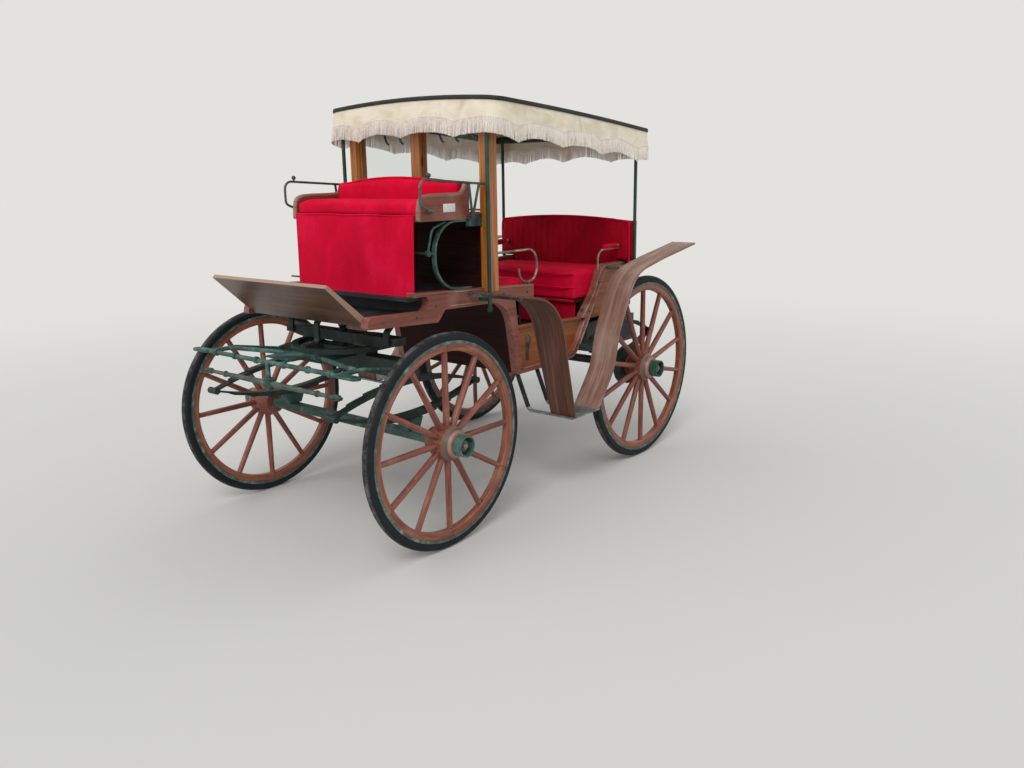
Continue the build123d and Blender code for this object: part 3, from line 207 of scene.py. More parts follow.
def wheelWood(name, axle, felloes, rimFoot, hubGreen):
    # Spokes, nave and felloes in worn brown paint, with the steel channel and the nave's rings in green
    f = Finish(name)
    away, angle, across = aboutAxle(f, axle)
    size = hubSizes

    def past(value, edge):
        return f.step(value, edge, edge + 0.001)

    def within(value, edge):
        return f.step(edge - value, 0.0, 0.001)

    turn = angle * (felloes / math.tau) + 20.0
    joint = turn.worked("FRACT")
    board = turn.worked("FLOOR")
    along = f.node("CombineXYZ", {0: across * 60.0, 1: away * 70.0, 2: angle * 3.0 + board * 7.3})
    outward = f.node("CombineXYZ", {0: across * 60.0, 1: away * 3.0, 2: angle * 28.0})
    onRim = f.step(away, rimFoot - 0.004, rimFoot)
    grain = f.noise(1.0, 4, 0.6, 0.3, along) * onRim
    grain = grain + f.noise(1.0, 4, 0.6, 0.3, outward) * (1.0 - onRim)
    broad = f.noise(7, 4, 0.6)
    chips = f.noise(55, 4, 0.7)
    spoke = f.ramp(grain, (0.30, "552a1f"), (0.52, "824434"), (0.74, "9d5d4a"))
    rim = f.ramp(grain, (0.30, "623321"), (0.52, "894c34"), (0.74, "a46a4b"))
    colour = f.mix(onRim, spoke, rim)
    fade = f.step(broad, 0.50, 0.74)
    colour = f.mix(fade * 0.4, colour, "ab7b66")
    chipped = f.step(chips, 0.66, 0.71)
    colour = f.mix(chipped * 0.5, colour, "3b2019")
    line = f.step(abs(joint - 0.5), 0.492, 0.498) * onRim
    colour = f.mix(line * 0.8, colour, "2c1611")
    channel = past(away, rimFoot + size["channel"])
    ring = past(across, size["ring"]) * within(away, size["ringRim"])
    flange = past(across, size["flange"]) * past(away, size["flangeFoot"])
    flange = flange * within(away, size["flangeRim"])
    nave = past(across, size["nave"]) * within(away, size["naveRim"])
    green = f.ramp(f.noise(30, 4, 0.65), (0.3, "1d4a40"), (0.55, hubGreen), (0.75, "6f9486"))
    steel = f.ramp(f.noise(24, 4, 0.65), (0.3, "26302d"), (0.55, "4c5f5a"), (0.78, "8fa69f"))
    colour = f.mix(channel, colour, steel)
    colour = f.mix(nave * 0.6, colour, "b88d7c")
    colour = f.mix(ring, colour, green)
    colour = f.mix(flange * 0.75, colour, "565a4e")
    height = grain * 0.5 - chipped * 0.6 - line
    return f.close(colour, 0.42 + grain * 0.14 + fade * 0.12, Coat_Weight=0.12, Coat_Roughness=0.3,
                   Normal=f.bump(height, 0.0012, 0.4))


def rubber(name, axle, tread):
    # Black rubber, dusty all over and scuffed grey on its tread
    f = Finish(name)
    away, angle, across = aboutAxle(f, axle)
    fine = f.noise(130, 3, 0.6)
    around = f.node("CombineXYZ", {0: across * 30.0, 1: away * 30.0, 2: angle * 9.0})
    dust = f.noise(1.0, 5, 0.7, 0.6, around)
    scuffed = f.step(away, tread - 0.007, tread - 0.001)
    colour = f.mix(f.step(dust, 0.38, 0.72) * 0.6, "0f1317", "252b31")
    colour = f.mix(scuffed * f.step(dust, 0.38, 0.66) * 0.8, colour, "6b6763")
    return f.close(colour, 0.58 + dust * 0.25, Specular_IOR_Level=0.3,
                   Normal=f.bump(fine + dust, 0.001, 0.4))


def guardBoards(name):
    # Bent ash boards: dark brown on the front guards, bleached and streaked on the rear ones, whose
    # pale tones are partly a painted highlight
    f = Finish(name)
    back = f.split(f.place())[1]
    fibre = f.noise(1.0, 5, 0.65, 0.4, f.place((95, 4, 4)))
    streak = f.noise(1.0, 3, 0.55, 1.0, f.place((26, 1.2, 1.2)))
    broad = f.noise(5, 3, 0.55)
    rear = f.step(back, -0.02, 0.02)
    mixed = fibre * 0.5 + streak * 0.5
    front = f.ramp(mixed, (0.32, "341a13"), (0.50, "55301f"), (0.70, "7b5340"))
    # The rear guards' pale ramp and the fade towards b9a097 carry a painted highlight as well as
    # bleaching
    worn = f.ramp(mixed, (0.30, "5c3a2d"), (0.48, "845b4b"), (0.66, "ad8f83"))
    fade = f.step(broad, 0.45, 0.75)
    worn = f.mix(fade * 0.35, worn, "b9a097")
    colour = f.mix(rear, front, worn)
    cracks = f.step(fibre, 0.66, 0.72)
    colour = f.mix(cracks * 0.4, colour, "2c1710")
    return f.close(colour, 0.42 + rear * 0.12 + fibre * 0.12, Coat_Weight=0.12, Coat_Roughness=0.3,
                   Normal=f.bump(fibre * 0.7 - cracks, 0.0014, 0.4))


def velvet(name, low, full, brushed):
    # Cotton velvet: nap pushed about in broad soft folds, a faint edge sheen and a very fine pile
    f = Finish(name)
    patches = f.noise(5, 3, 0.5, 0.6, f.place((1, 1, 0.7)))
    strokes = f.noise(1.0, 3, 0.6, 0.6, f.place((12, 12, 6)))
    pile = f.noise(700, 2, 0.6)
    crush = f.noise(38, 4, 0.65, 0.5)
    nap = patches * 0.62 + strokes * 0.18 + crush * 0.2
    colour = f.ramp(nap, (0.36, low), (0.52, full), (0.70, brushed))
    colour = f.mix(f.step(pile, 0.35, 0.75) * 0.3, colour, low)
    return f.close(colour, 0.80 + pile * 0.15, Sheen_Weight=0.14, Sheen_Roughness=0.4,
                   Sheen_Tint="ff2a48", Specular_IOR_Level=0.15,
                   Normal=f.bump(pile * 0.3 + crush * 0.7 + strokes * 0.6, 0.0016, 0.5))


def canvas(name, base, shade, stain):
    # Plain-woven cotton, slightly stained, with the thread pattern from two crossing waves
    f = Finish(name)
    x, y, z = f.split(f.place())
    weave = 900.0
    threads = ((x + y) * weave).worked("SINE") * (z * weave).worked("SINE")
    soft = f.noise(7, 4, 0.6, 0.8, f.place((1, 1, 2)))
    marks = f.noise(1.0, 4, 0.6, 0.6, f.place((9, 9, 2)))
    colour = f.ramp(soft, (0.30, shade), (0.62, base))
    colour = f.mix(f.step(marks, 0.55, 0.80) * 0.55, colour, stain)
    return f.close(colour, 0.86 + threads * 0.04, Sheen_Weight=0.08,
                   Normal=f.bump(threads + soft, 0.0006, 0.4))


def cottonThreads(name):
    # The fringe: fine upright threads in slightly uneven off-white
    f = Finish(name)
    fine = f.noise(1.0, 2, 0.5, vector=f.place((420, 420, 12)))
    broad = f.noise(11, 3, 0.6)
    colour = f.ramp(fine * 0.65 + broad * 0.35, (0.30, "c3b5a8"), (0.48, "e4d9ce"), (0.66, "f6f1ea"))
    return f.close(colour, 0.85, Sheen_Weight=0.1, Normal=f.bump(fine, 0.001, 0.5))


def glassPane(name):
    # Clear glass with a few faint smears
    f = Finish(name)
    smear = f.noise(6, 3, 0.5, 0.8, f.place((3, 3, 1.2)))
    return f.close("eef3f1", f.step(smear, 0.5, 0.8) * 0.03, Transmission_Weight=1.0,
                   IOR=1.3, Normal=f.bump(smear, 0.0004, 0.12))


def pine(name):
    # Varnished pine: upright growth lines, amber varnish and a few knots
    f = Finish(name)
    lines = f.noise(1.0, 5, 0.6, 0.9, f.place((55, 55, 1.6)))
    fine = f.noise(1.0, 3, 0.6, vector=f.place((190, 190, 5)))
    knots = f.node("TexVoronoi", {"Vector": f.place((6.0, 6.0, 2.6)), "Scale": 1.0})
    knot = 1.0 - f.step(knots, 0.06, 0.13)
    colour = f.ramp(lines * 0.75 + fine * 0.25, (0.34, "72360f"), (0.50, "ad6220"), (0.68, "cd8c3e"))
    colour = f.mix(knot * 0.85, colour, "4a220c")
    return f.close(colour, 0.30 + fine * 0.15, Coat_Weight=0.35, Coat_Roughness=0.15,
                   Normal=f.bump(lines + knot * -0.5, 0.0008, 0.35))


def agedSteel(name, dark, mid, bright, metal=0.75, rough=0.38, blackFrom=None):
    # Bare iron worn bright in places, black above the height blackFrom where one is given
    f = Finish(name)
    broad = f.noise(14, 5, 0.65, 0.5)
    grit = f.noise(110, 3, 0.6)
    colour = f.ramp(broad, (0.34, dark), (0.52, mid), (0.70, bright))
    if blackFrom:
        above = f.step(f.split(f.place())[2], blackFrom, blackFrom + 0.004)
        colour = f.mix(above, colour, "1d2222")
    return f.close(colour, rough + grit * 0.25, Metallic=f.step(broad, 0.36, 0.52) * metal,
                   Normal=f.bump(grit, 0.0006, 0.4))


def floorMat(name):
    # A ribbed black mat with dust on it
    f = Finish(name)
    ribs = f.split(f.place((900, 900, 900)))[1]
    dust = f.noise(8, 4, 0.6)
    colour = f.mix(f.step(dust, 0.4, 0.75) * 0.5, "171b22", "434a52")
    return f.close(colour, 0.35 + dust * 0.3,
                   Normal=f.bump(ribs.worked("SINE") + dust, 0.0007, 0.35))


# Every finish, kept under its own name
made = [
    rubber("tyreFront", frontAxle, 0.507),
    rubber("tyreRear", rearAxle, 0.550),
    wheelWood("wheelFront", frontAxle, 6, 0.420, "47665c"),
    wheelWood("wheelRear", rearAxle, 7, 0.463, "1d4a3c"),
    paintedIron("axleGreen", ("11261f", "22453e", "5f8178", "43332a"), scuff=0.35),
    # The running gear's iron: the same green paint as the bars and axle, darkened to near black as
    # painted shade for its place under the body
    paintedIron("gearGreenPaintedShade", ("0a1310", "142620", "2b4a42", "2b1e17"), rough=0.5, rust=0.4, scuff=0.15),
    paintedIron("barGreen", ("16342f", "28524b", "7a9f96", "4a3628"), rust=0.45, scuff=0.4),
    paintedIron("postGreen", ("0a2118", "153d2b", "2c5c45", "40342a"), rust=0.15, scuff=0.2),
    paintedIron("seatIron", ("1a322d", "335750", "7f9890", "5e4e40"), rust=0.35, shine=0.2),
    paintedIron("railIron", ("26332f", "46524e", "8d8680", "5f453b"), rust=0.6, shine=0.3, scuff=0.45),
    paintedIron("poleGreen", ("232d28", "455249", "83867a", "5a4434"), rust=0.5, scuff=0.5),
    paintedIron("edgeDark", ("050b08", "0c1813", "1d3028", "2a2018"), rough=0.5, rust=0.1, scuff=0.15),
    fadedWood("rimBrown", ("5d3529", "8d5f4f", "b08d7d", "cfb9ac"), "y", wear=0.6),
    agedSteel("armIron", "5a4338", "8a7a70", "c2bcb4"),
    agedSteel("stepPlate", "4d5050", "7d8284", "a7adb0", 0.5, 0.5, blackFrom=0.468),
    fadedWood("bodyBrown", ("5a2e22", "85493a", "a36a57", "c0978a"), "y", coat=0.08),
    fadedWood("toeBrown", ("3c261c", "5c3b2b", "7a5643", "957765"), "x", rough=0.34, coat=0.3,
              wear=0.25, paleFrom=(0.409, 1.2375)),
    fadedWood("seatBrown", ("4c2219", "743828", "8f503d", "a97a69"), "y", coat=0.08, seed=0.3),
    fadedWood("panelBrown", ("66300f", "93501f", "ad6c36", "b98a66"), "y", rough=0.4),
    fadedWood("rearBrown", ("66300f", "93501f", "ad6c36", "b98a66"), "x", rough=0.4, wear=0.2),
    # The well walls, bulkhead and benches: their near-black maroon is painted shade on these inner
    # panels, not their own paint
    fadedWood("maroonPaintedShade", ("160706", "29100d", "381914", "4a302a"), "x", rough=0.6, coat=0.0,
              wear=0.2, shine=0.15),
    fadedWood("boxGrey", ("26282b", "3b3e42", "4c5054", "66696c"), "x", rough=0.5),
    guardBoards("guardWood"),
    pine("pineGold"),
    glassPane("clearGlass"),
    velvet("velvetBright", "c8002b", "dc0033", "ee184a"),
    # The deeper velvet is the same cloth darkened as painted shade, for the rear back, the lip and the
    # fall that sit in shade
    velvet("velvetPaintedShade", "8e0017", "aa001e", "c40c30"),
    canvas("creamCanvas", "efe5d0", "dccdb0", "b8a283"),
    # The roof cloth's khaki is beige canvas darkened partly as painted shade under the roof
    canvas("roofKhakiAndShade", "ad9d79", "9c8c6a", "85775a"),
    cottonThreads("fringeCotton"),
    floorMat("blackMat"),
    agedSteel("nutDark", "2a2f2e", "4a504e", "7c8481", 0.5, 0.42),
    fadedWood("plateWhite", ("c9c8c2", "e2e1dc", "efeeea", "b9b4a8"), "y", rough=0.4, wear=0.2),
    paintedIron("tieBlack", ("0b0e0e", "181c1d", "33393a", "2c211b"), rust=0.2, scuff=0.15),
]
finishes = {material.name: material for material in made}

nodeFinishes = {
    "gearGreenPaintedShade": ["front_springs", "lower_turntable", "upper_turntable", "king_bolt", "spring_carriers",
                  "rear_axle", "rear_springs"],
    "barGreen": ["splinter_bar"],
    "poleGreen": ["whippletree"],
    "postGreen": ["canopy_posts", "roof_frame"],
    "seatIron": ["seat_irons"],
    "axleGreen": ["front_axle"],
    "railIron": ["seat_rails", "guard_irons"],
    "armIron": ["bench_arms"],
    "stepPlate": ["steps"],
    "bodyBrown": ["side_frames"],
    "toeBrown": ["toe_board"],
    "seatBrown": ["box_seat"],
    "panelBrown": ["side_panels"],
    "rearBrown": ["rear_panel"],
    "maroonPaintedShade": ["well_walls", "bulkhead", "benches"],
    "blackMat": ["floors"],
    "boxGrey": ["rear_box"],
    "guardWood": ["mudguards"],
    "pineGold": ["partition_frame"],
    "clearGlass": ["partition_glass"],
}
for side in ("left", "right"):
    for end in ("Front", "Rear"):
        wheel = "wheel_%s_%s" % (end.lower(), side)
        nodeFinishes.setdefault("tyre" + end, []).append(wheel + "_tyre")
        nodeFinishes.setdefault("wheel" + end, []).extend([wheel + "_rim", wheel + "_hub"])
    nodeFinishes["gearGreenPaintedShade"].append("wheel_rear_%s_drum" % side)
for finish, nodes in nodeFinishes.items():
    for node in nodes:
        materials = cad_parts[node].data.materials
        materials.clear()
        materials.append(finishes[finish])
print("finishes ready")


def pickOnly(*pieces):
    if bpy.context.object and bpy.context.object.mode != "OBJECT":
        bpy.ops.object.mode_set(mode="OBJECT")
    bpy.ops.object.select_all(action="DESELECT")
    for piece in pieces:
        piece.select_set(True)
    bpy.context.view_layer.objects.active = pieces[0]


def applied(piece, kind, **settings):
    pickOnly(piece)
    modifier = piece.modifiers.new(kind, kind)
    for key, value in settings.items():
        setattr(modifier, key, value)
    bpy.ops.object.modifier_apply(modifier=modifier.name)
    return piece


@contextlib.contextmanager
def editing(piece):
    # Edit mode with the whole mesh selected
    pickOnly(piece)
    bpy.ops.object.mode_set(mode="EDIT")
    bpy.ops.mesh.select_all(action="SELECT")
    yield
    bpy.ops.object.mode_set(mode="OBJECT")


def settled(piece):
    # The place goes into the mesh, and the object goes to the origin
    pickOnly(piece)
    bpy.ops.object.transform_apply()
    return piece


def dressed(piece, name, finish, body="carriage_body", angle=35):
    settled(piece)
    piece.name = name
    piece.data.name = name
    piece.data.materials.clear()
    piece.data.materials.append(finishes[finish])
    bpy.ops.object.shade_smooth_by_angle(angle=math.radians(angle))
    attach(piece, body)
    return piece


def joined(pieces):
    pickOnly(*pieces)
    if len(pieces) > 1:
        bpy.ops.object.join()
    return bpy.context.object


def grid(columns, rows, shape, closed=False):
    # A flat grid whose corners are then drawn to their places by shape(u, v), u and v from 0 to 1
    bpy.ops.mesh.primitive_grid_add(x_subdivisions=columns, y_subdivisions=rows, size=1)
    piece = bpy.context.object
    for corner in piece.data.vertices:
        corner.co = shape(corner.co.x + 0.5, corner.co.y + 0.5)
    with editing(piece):
        if closed:
            bpy.ops.mesh.remove_doubles(threshold=0.0002)
        bpy.ops.mesh.normals_make_consistent(inside=False)
    return piece


def tube(points, radius, closed=False, sides=3):
    # A piping or bead along a smooth line
    line = bpy.data.curves.new("line", "CURVE")
    line.dimensions = "3D"
    line.bevel_depth = radius
    line.bevel_resolution = sides
    line.resolution_u = 4
    line.use_fill_caps = True
    spline = line.splines.new("NURBS")
    spline.points.add(len(points) - 1)
    for knot, point in zip(spline.points, points):
        knot.co = (*point, 1.0)
    spline.order_u = 3
    spline.use_endpoint_u = not closed
    spline.use_cyclic_u = closed
    piece = bpy.data.objects.new("line", line)
    scene.collection.objects.link(piece)
    pickOnly(piece)
    bpy.ops.object.convert(target="MESH")
    return bpy.context.object


def wavy(value, *waves):
    # A gentle uneven ripple: each wave is (times, height, shift)
    return sum(height * math.sin(value * times + shift) for times, height, shift in waves)


# Canopy

# "frontAft" is how far the roof begins behind the front axle
roofSizes = {"half": 0.590, "length": 1.440, "corner": 0.060, "frontAft": 0.500, "frontZ": 2.033,
             "slope": 4.3, "crown": 0.026, "camber": 0.009}
valanceSizes = {"cloth": 0.094, "scallop": 0.014, "scallops": 14, "standOff": 0.0035,
                "fold": 0.0035, "flare": 0.009, "columns": 720, "rows": 14, "thickness": 0.0012}
fringeSizes = {"length": 0.076, "pitch": 0.0026, "thread": 0.00125, "braid": 0.007,
               "braidOut": 0.0024, "out": 0.004, "seed": 11,
               "sways": ((-0.0016, 0.0016), (-0.001, 0.002), (0.965, 1.02))}


def roofSpot(x, run, up):
    # A place on the sloping roof: "run" back from its front edge, "up" square to it
    slope = math.radians(roofSizes["slope"])
    up += roofSizes["camber"] * math.sin(min(max(run / roofSizes["length"], 0), 1) * math.pi)
    y = frontAxle[0] + roofSizes["frontAft"] + run * math.cos(slope) + up * math.sin(slope)
    return Vector((x, y, roofSizes["frontZ"] - run * math.sin(slope) + up * math.cos(slope)))


def crownHeight(x):
    # The roof is an arc across its width
    half, crown = roofSizes["half"], roofSizes["crown"]
    bend = (half ** 2 + crown ** 2) / (2 * crown)
    return math.sqrt(bend ** 2 - min(abs(x), half) ** 2) - (bend - crown)


def rimWalk(distance):
    # Follows the roof's edge from the middle of the rear: the place there and the way outwards
    corner = roofSizes["corner"]
    half, side = roofSizes["half"] - corner, roofSizes["length"] - 2 * corner
    quarter = math.pi / 2 * corner
    x, run, heading = 0.0, roofSizes["length"], 0.0
    for length, bends in ((half, 0), (quarter, 1), (side, 0), (quarter, 1), (2 * half, 0), (quarter, 1),
                          (side, 0), (quarter, 1), (half, 0)):
        here = min(distance, length)
        if bends:
            turned = heading - here / corner
            x += corner * (math.sin(heading) - math.sin(turned))
            run -= corner * (math.cos(heading) - math.cos(turned))
            heading = turned
        else:
            x += here * math.cos(heading)
            run += here * math.sin(heading)
        distance -= here
        if distance <= 0:
            break
    return x, run, -math.sin(heading), math.cos(heading)


rimLength = 4 * (roofSizes["half"] - roofSizes["corner"])
rimLength += 2 * (roofSizes["length"] - 2 * roofSizes["corner"])
rimLength += math.tau * roofSizes["corner"]


def hangSpot(distance, drop, stand):
    # A place on the hanging cloth: "drop" below the roof's edge, "stand" further out
    x, run, outX, outRun = rimWalk(distance % rimLength)
    lift = crownHeight(x) * min(1.0, abs(outRun))
    reach = valanceSizes["standOff"] + stand
    return roofSpot(x + outX * reach, run + outRun * reach, lift + 0.004 - drop)


def hemDrop(distance):
    # Wide uneven arches that meet in soft points
    turn = distance / rimLength * math.tau
    bent = turn + wavy(turn, (2, 0.05, 0.3), (3, 0.04, 1.6))
    arch = abs(math.sin(bent * valanceSizes["scallops"] / 2)) ** 0.8
    drop = valanceSizes["cloth"] + valanceSizes["scallop"] * (1.1 - 2 * arch)
    return drop + wavy(turn, (19, 0.0022, 2.1))


def clothStand(distance, share):
    # How far the cloth stands out from the roof, from none at its top to all at its hem
    turn = distance / rimLength * math.tau
    ripple = wavy(turn, (36, 0.6, 0.4), (61, 0.35, 1.9), (97, 0.25, 0.2)) * valanceSizes["fold"]
    return share * (valanceSizes["flare"] + ripple * share)


def valanceShape(u, v):
    distance, share = u * rimLength, 1 - v
    return hangSpot(distance, hemDrop(distance) * share, clothStand(distance, share))


valance = grid(valanceSizes["columns"], valanceSizes["rows"], valanceShape, closed=True)
applied(valance, "SOLIDIFY", thickness=valanceSizes["thickness"], offset=0)
dressed(valance, "valanceCloth", "creamCanvas")
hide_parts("valance")


def braidShape(u, v):
    distance = u * rimLength
    turn = v * math.tau
    drop = hemDrop(distance) + math.cos(turn) * fringeSizes["braid"] / 2
    stand = clothStand(distance, 1.0) + fringeSizes["braidOut"] * math.sin(turn)
    return hangSpot(distance, drop, stand)


braid = grid(600, 8, braidShape, closed=True)
dressed(braid, "valanceBraid", "fringeCotton")

# One thread, cut across once so that it can hang in a bend, then a whole row of them
threadCount = int(rimLength / fringeSizes["pitch"])
bpy.ops.mesh.primitive_cylinder_add(vertices=4, radius=fringeSizes["thread"], depth=1,
                                    location=(0, 0, -0.5))
fringe = bpy.context.object
with editing(fringe):
    bpy.ops.mesh.bisect(plane_co=(0, 0, -0.5), plane_no=(0, 0, 1))
settled(fringe)
applied(fringe, "ARRAY", count=threadCount, use_relative_offset=False, use_constant_offset=True,
        constant_offset_displace=(fringeSizes["pitch"], 0, 0))
random.seed(fringeSizes["seed"])
sways = [[random.uniform(*span) for span in fringeSizes["sways"]] for _ in range(threadCount)]
for corner in fringe.data.vertices:
    number = min(threadCount - 1, max(0, round(corner.co.x / fringeSizes["pitch"])))
    along, out, stretch = sways[number]
    down = -corner.co.z
    distance = corner.co.x * rimLength / (threadCount * fringeSizes["pitch"]) + along * down * down
    drop = hemDrop(distance) + down * stretch * fringeSizes["length"]
    stand = clothStand(distance, 1.0) + corner.co.y + (out + fringeSizes["out"]) * down
    corner.co = hangSpot(distance, drop, stand)
dressed(fringe, "valanceFringe", "fringeCotton")


canvasSizes = {"over": 0.004, "thickness": 0.0015, "above": 0.0066, "bow": 0.004, "turnDown": 0.006,
               "turnWidth": 0.012, "flat": (1.19, 1.45)}


def canvasShape(u, v):
    # Stretched over the bows, with rounded corners and its edge turned down
    size, over = canvasSizes, canvasSizes["over"]
    half, corner, length = roofSizes["half"] + over, roofSizes["corner"], roofSizes["length"]
    x, run = (u * 2 - 1) * half, v * (length + 2 * over) - over
    insideX = min(abs(x), half - corner)
    insideRun = min(max(run, corner), length - corner)
    away = math.hypot(abs(x) - insideX, run - insideRun)
    reach = corner + over
    if away > reach:
        x = math.copysign(insideX + (abs(x) - insideX) * reach / away, x)
        run = insideRun + (run - insideRun) * reach / away
    bows = math.sin(min(max(run / length, 0), 1) * math.tau) ** 2
    edge = 0.0
    if away > 0:
        edge = max(0.0, 1 - (reach - min(away, reach)) / size["turnWidth"])
    up = crownHeight(x) + size["above"] - size["bow"] * bows * (1 - edge)
    return roofSpot(x, run, up - size["turnDown"] * edge ** 2)


# The roof cloth is dressed in a khaki that is partly painted shade
roofCloth = grid(80, 90, canvasShape)
applied(roofCloth, "SOLIDIFY", thickness=canvasSizes["thickness"], offset=1)
dressed(roofCloth, "roofCanvas", "roofKhakiAndShade")
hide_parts("roof_cover")


edgeSizes = {"middle": 0.006, "half": 0.0105, "stand": 0.002, "out": 0.005, "columns": 360}


def edgeShape(u, v):
    # The painted edge strip over the top of the cloth: a flat oval in section
    turn = v * math.tau
    high, out = math.cos(turn), math.sin(turn)
    high = math.copysign(abs(high) ** 0.6, high) * edgeSizes["half"]
    out = math.copysign(abs(out) ** 0.6, out) * edgeSizes["out"]
    return hangSpot(u * rimLength, -edgeSizes["middle"] - high, edgeSizes["stand"] + out)


edge = grid(edgeSizes["columns"], 12, edgeShape, closed=True)
dressed(edge, "roofEdgeStrip", "edgeDark")
print("canopy made")


# Upholstery

def block(lo, hi, cuts=0):
    # A box between two corners, with its faces divided by this many cuts
    bpy.ops.mesh.primitive_cube_add(size=1, location=(Vector(lo) + Vector(hi)) / 2)
    piece = bpy.context.object
    piece.scale = Vector(hi) - Vector(lo)
    settled(piece)
    if cuts:
        with editing(piece):
            bpy.ops.mesh.subdivide(number_cuts=cuts)
    return piece


swellSizes = {"pressure": 4.0, "frames": 20, "smoothing": 4}


def swelled(piece, voxel, cap):
    # The cover is blown up by cloth pressure, and no point may move further than the cap
    applied(piece, "REMESH", mode="VOXEL", voxel_size=voxel)
    rest = [corner.co.copy() for corner in piece.data.vertices]
    pickOnly(piece)
    cloth = piece.modifiers.new("Cloth", "CLOTH")
    cloth.settings.use_pressure = True
    cloth.settings.uniform_pressure_force = swellSizes["pressure"]
    cloth.settings.effector_weights.gravity = 0
    for step in range(swellSizes["frames"]):
        scene.frame_set(step + 1)
    bpy.ops.object.modifier_apply(modifier=cloth.name)
    scene.frame_set(1)
    for corner, start in zip(piece.data.vertices, rest):
        move = corner.co - start
        if move.length > cap:
            corner.co = start + move.normalized() * cap
    applied(piece, "SMOOTH", factor=0.5, iterations=swellSizes["smoothing"])
    return piece


def kept(piece, lo, hi):
    # Every point is held between two corners, near the room that its solid has
    for corner in piece.data.vertices:
        corner.co = [min(max(c, a), b) for c, a, b in zip(corner.co, lo, hi)]


def filled(piece, axis, foot, edge):
    # After swelling, the pad is drawn out again along one axis until it reaches its edge
    reach = max(abs(corner.co[axis] - foot) for corner in piece.data.vertices)
    for corner in piece.data.vertices:
        if axis == 0 or corner.co[axis] > foot:
            corner.co[axis] = foot + (corner.co[axis] - foot) * (edge - foot) / reach


cushionSizes = {"voxel": 0.011, "cap": 0.016, "inset": (0.006, 0.006, 0.012), "pipe": 0.0045,
                "dome": 0.007, "top": 0.016, "middle": 0.069, "wrap": 0.012}


def cushion(name, node, finish, pipes, proud=0.0):
    # A domed cushion in its solid's room, with pipings across its front; "proud" is how far it
    # may stand out in front
    lo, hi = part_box(node)
    inset = Vector(cushionSizes["inset"])
    base = Vector((inset.x, inset.y, 0.001))
    pad = block(lo + base, hi - inset, 6)
    for corner in pad.data.vertices:
        high = (corner.co.z - lo.z) / (hi.z - lo.z)
        side = 1 - (2 * abs(corner.co.x - (lo.x + hi.x) / 2) / (hi.x - lo.x)) ** 4
        corner.co.z += cushionSizes["dome"] * high * side
    swelled(pad, cushionSizes["voxel"], cushionSizes["cap"])
    filled(pad, 0, 0, hi.x - 0.0015)
    kept(pad, lo + Vector((0.001, -proud, 0)), hi + Vector((-0.001, -0.001, 0.006)))
    applied(pad, "SUBSURF", levels=1, render_levels=1)
    dressed(pad, name, finish, angle=60)
    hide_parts(node)
    r = cushionSizes["pipe"]
    heights = {"top": hi.z - cushionSizes["top"], "middle": lo.z + cushionSizes["middle"],
               "bottom": lo.z + r}
    for end in pipes:
        z, y = heights[end], lo.y - proud + 0.001
        line = []
        for k in range(25):
            t, x = k / 24, lo.x + 0.004 + (hi.x - lo.x - 0.008) * k / 24
            wrap = cushionSizes["wrap"] * abs(2 * t - 1) ** 14
            line.append(Vector((x, y + wrap, z - 0.0015 * math.sin(t * 17))))
        dressed(tube(line, r), name + end.title() + "Piping", finish)


cushion("rearCushion", "rear_bench_cushion", "velvetBright", pipes=("top", "middle"))
# The rolled lip below the rear cushion, in the deeper velvet whose darkness is painted shade
lipSizes = {"y": frontAxle[0] + 1.4065, "z": 0.966, "radius": 0.0085,
            "across": (-0.403, -0.25, -0.1, 0.05, 0.2, 0.403)}
lipLine = [Vector((x, lipSizes["y"], lipSizes["z"] + 0.001 * math.sin(x * 31)))
           for x in lipSizes["across"]]
dressed(tube(lipLine, lipSizes["radius"]), "rearCushionLip", "velvetPaintedShade")
cushion("frontBenchPad", "front_bench_cushion", "velvetBright", pipes=())
cushion("driverCushion", "box_cushion", "velvetBright", pipes=("bottom",), proud=0.010)
print("cushions made")

backSizes = {"voxel": 0.011, "cap": 0.012, "channel": 0.003, "channelPitch": 0.098, "pipe": 0.0045}


def crestLine(x, half, shoulder, crest):
    # The height of a back's arched top at x
    rise = crest - shoulder
    bend = (half ** 2 + rise ** 2) / (2 * rise)
    return crest - bend + math.sqrt(max(0.0, bend ** 2 - x ** 2))


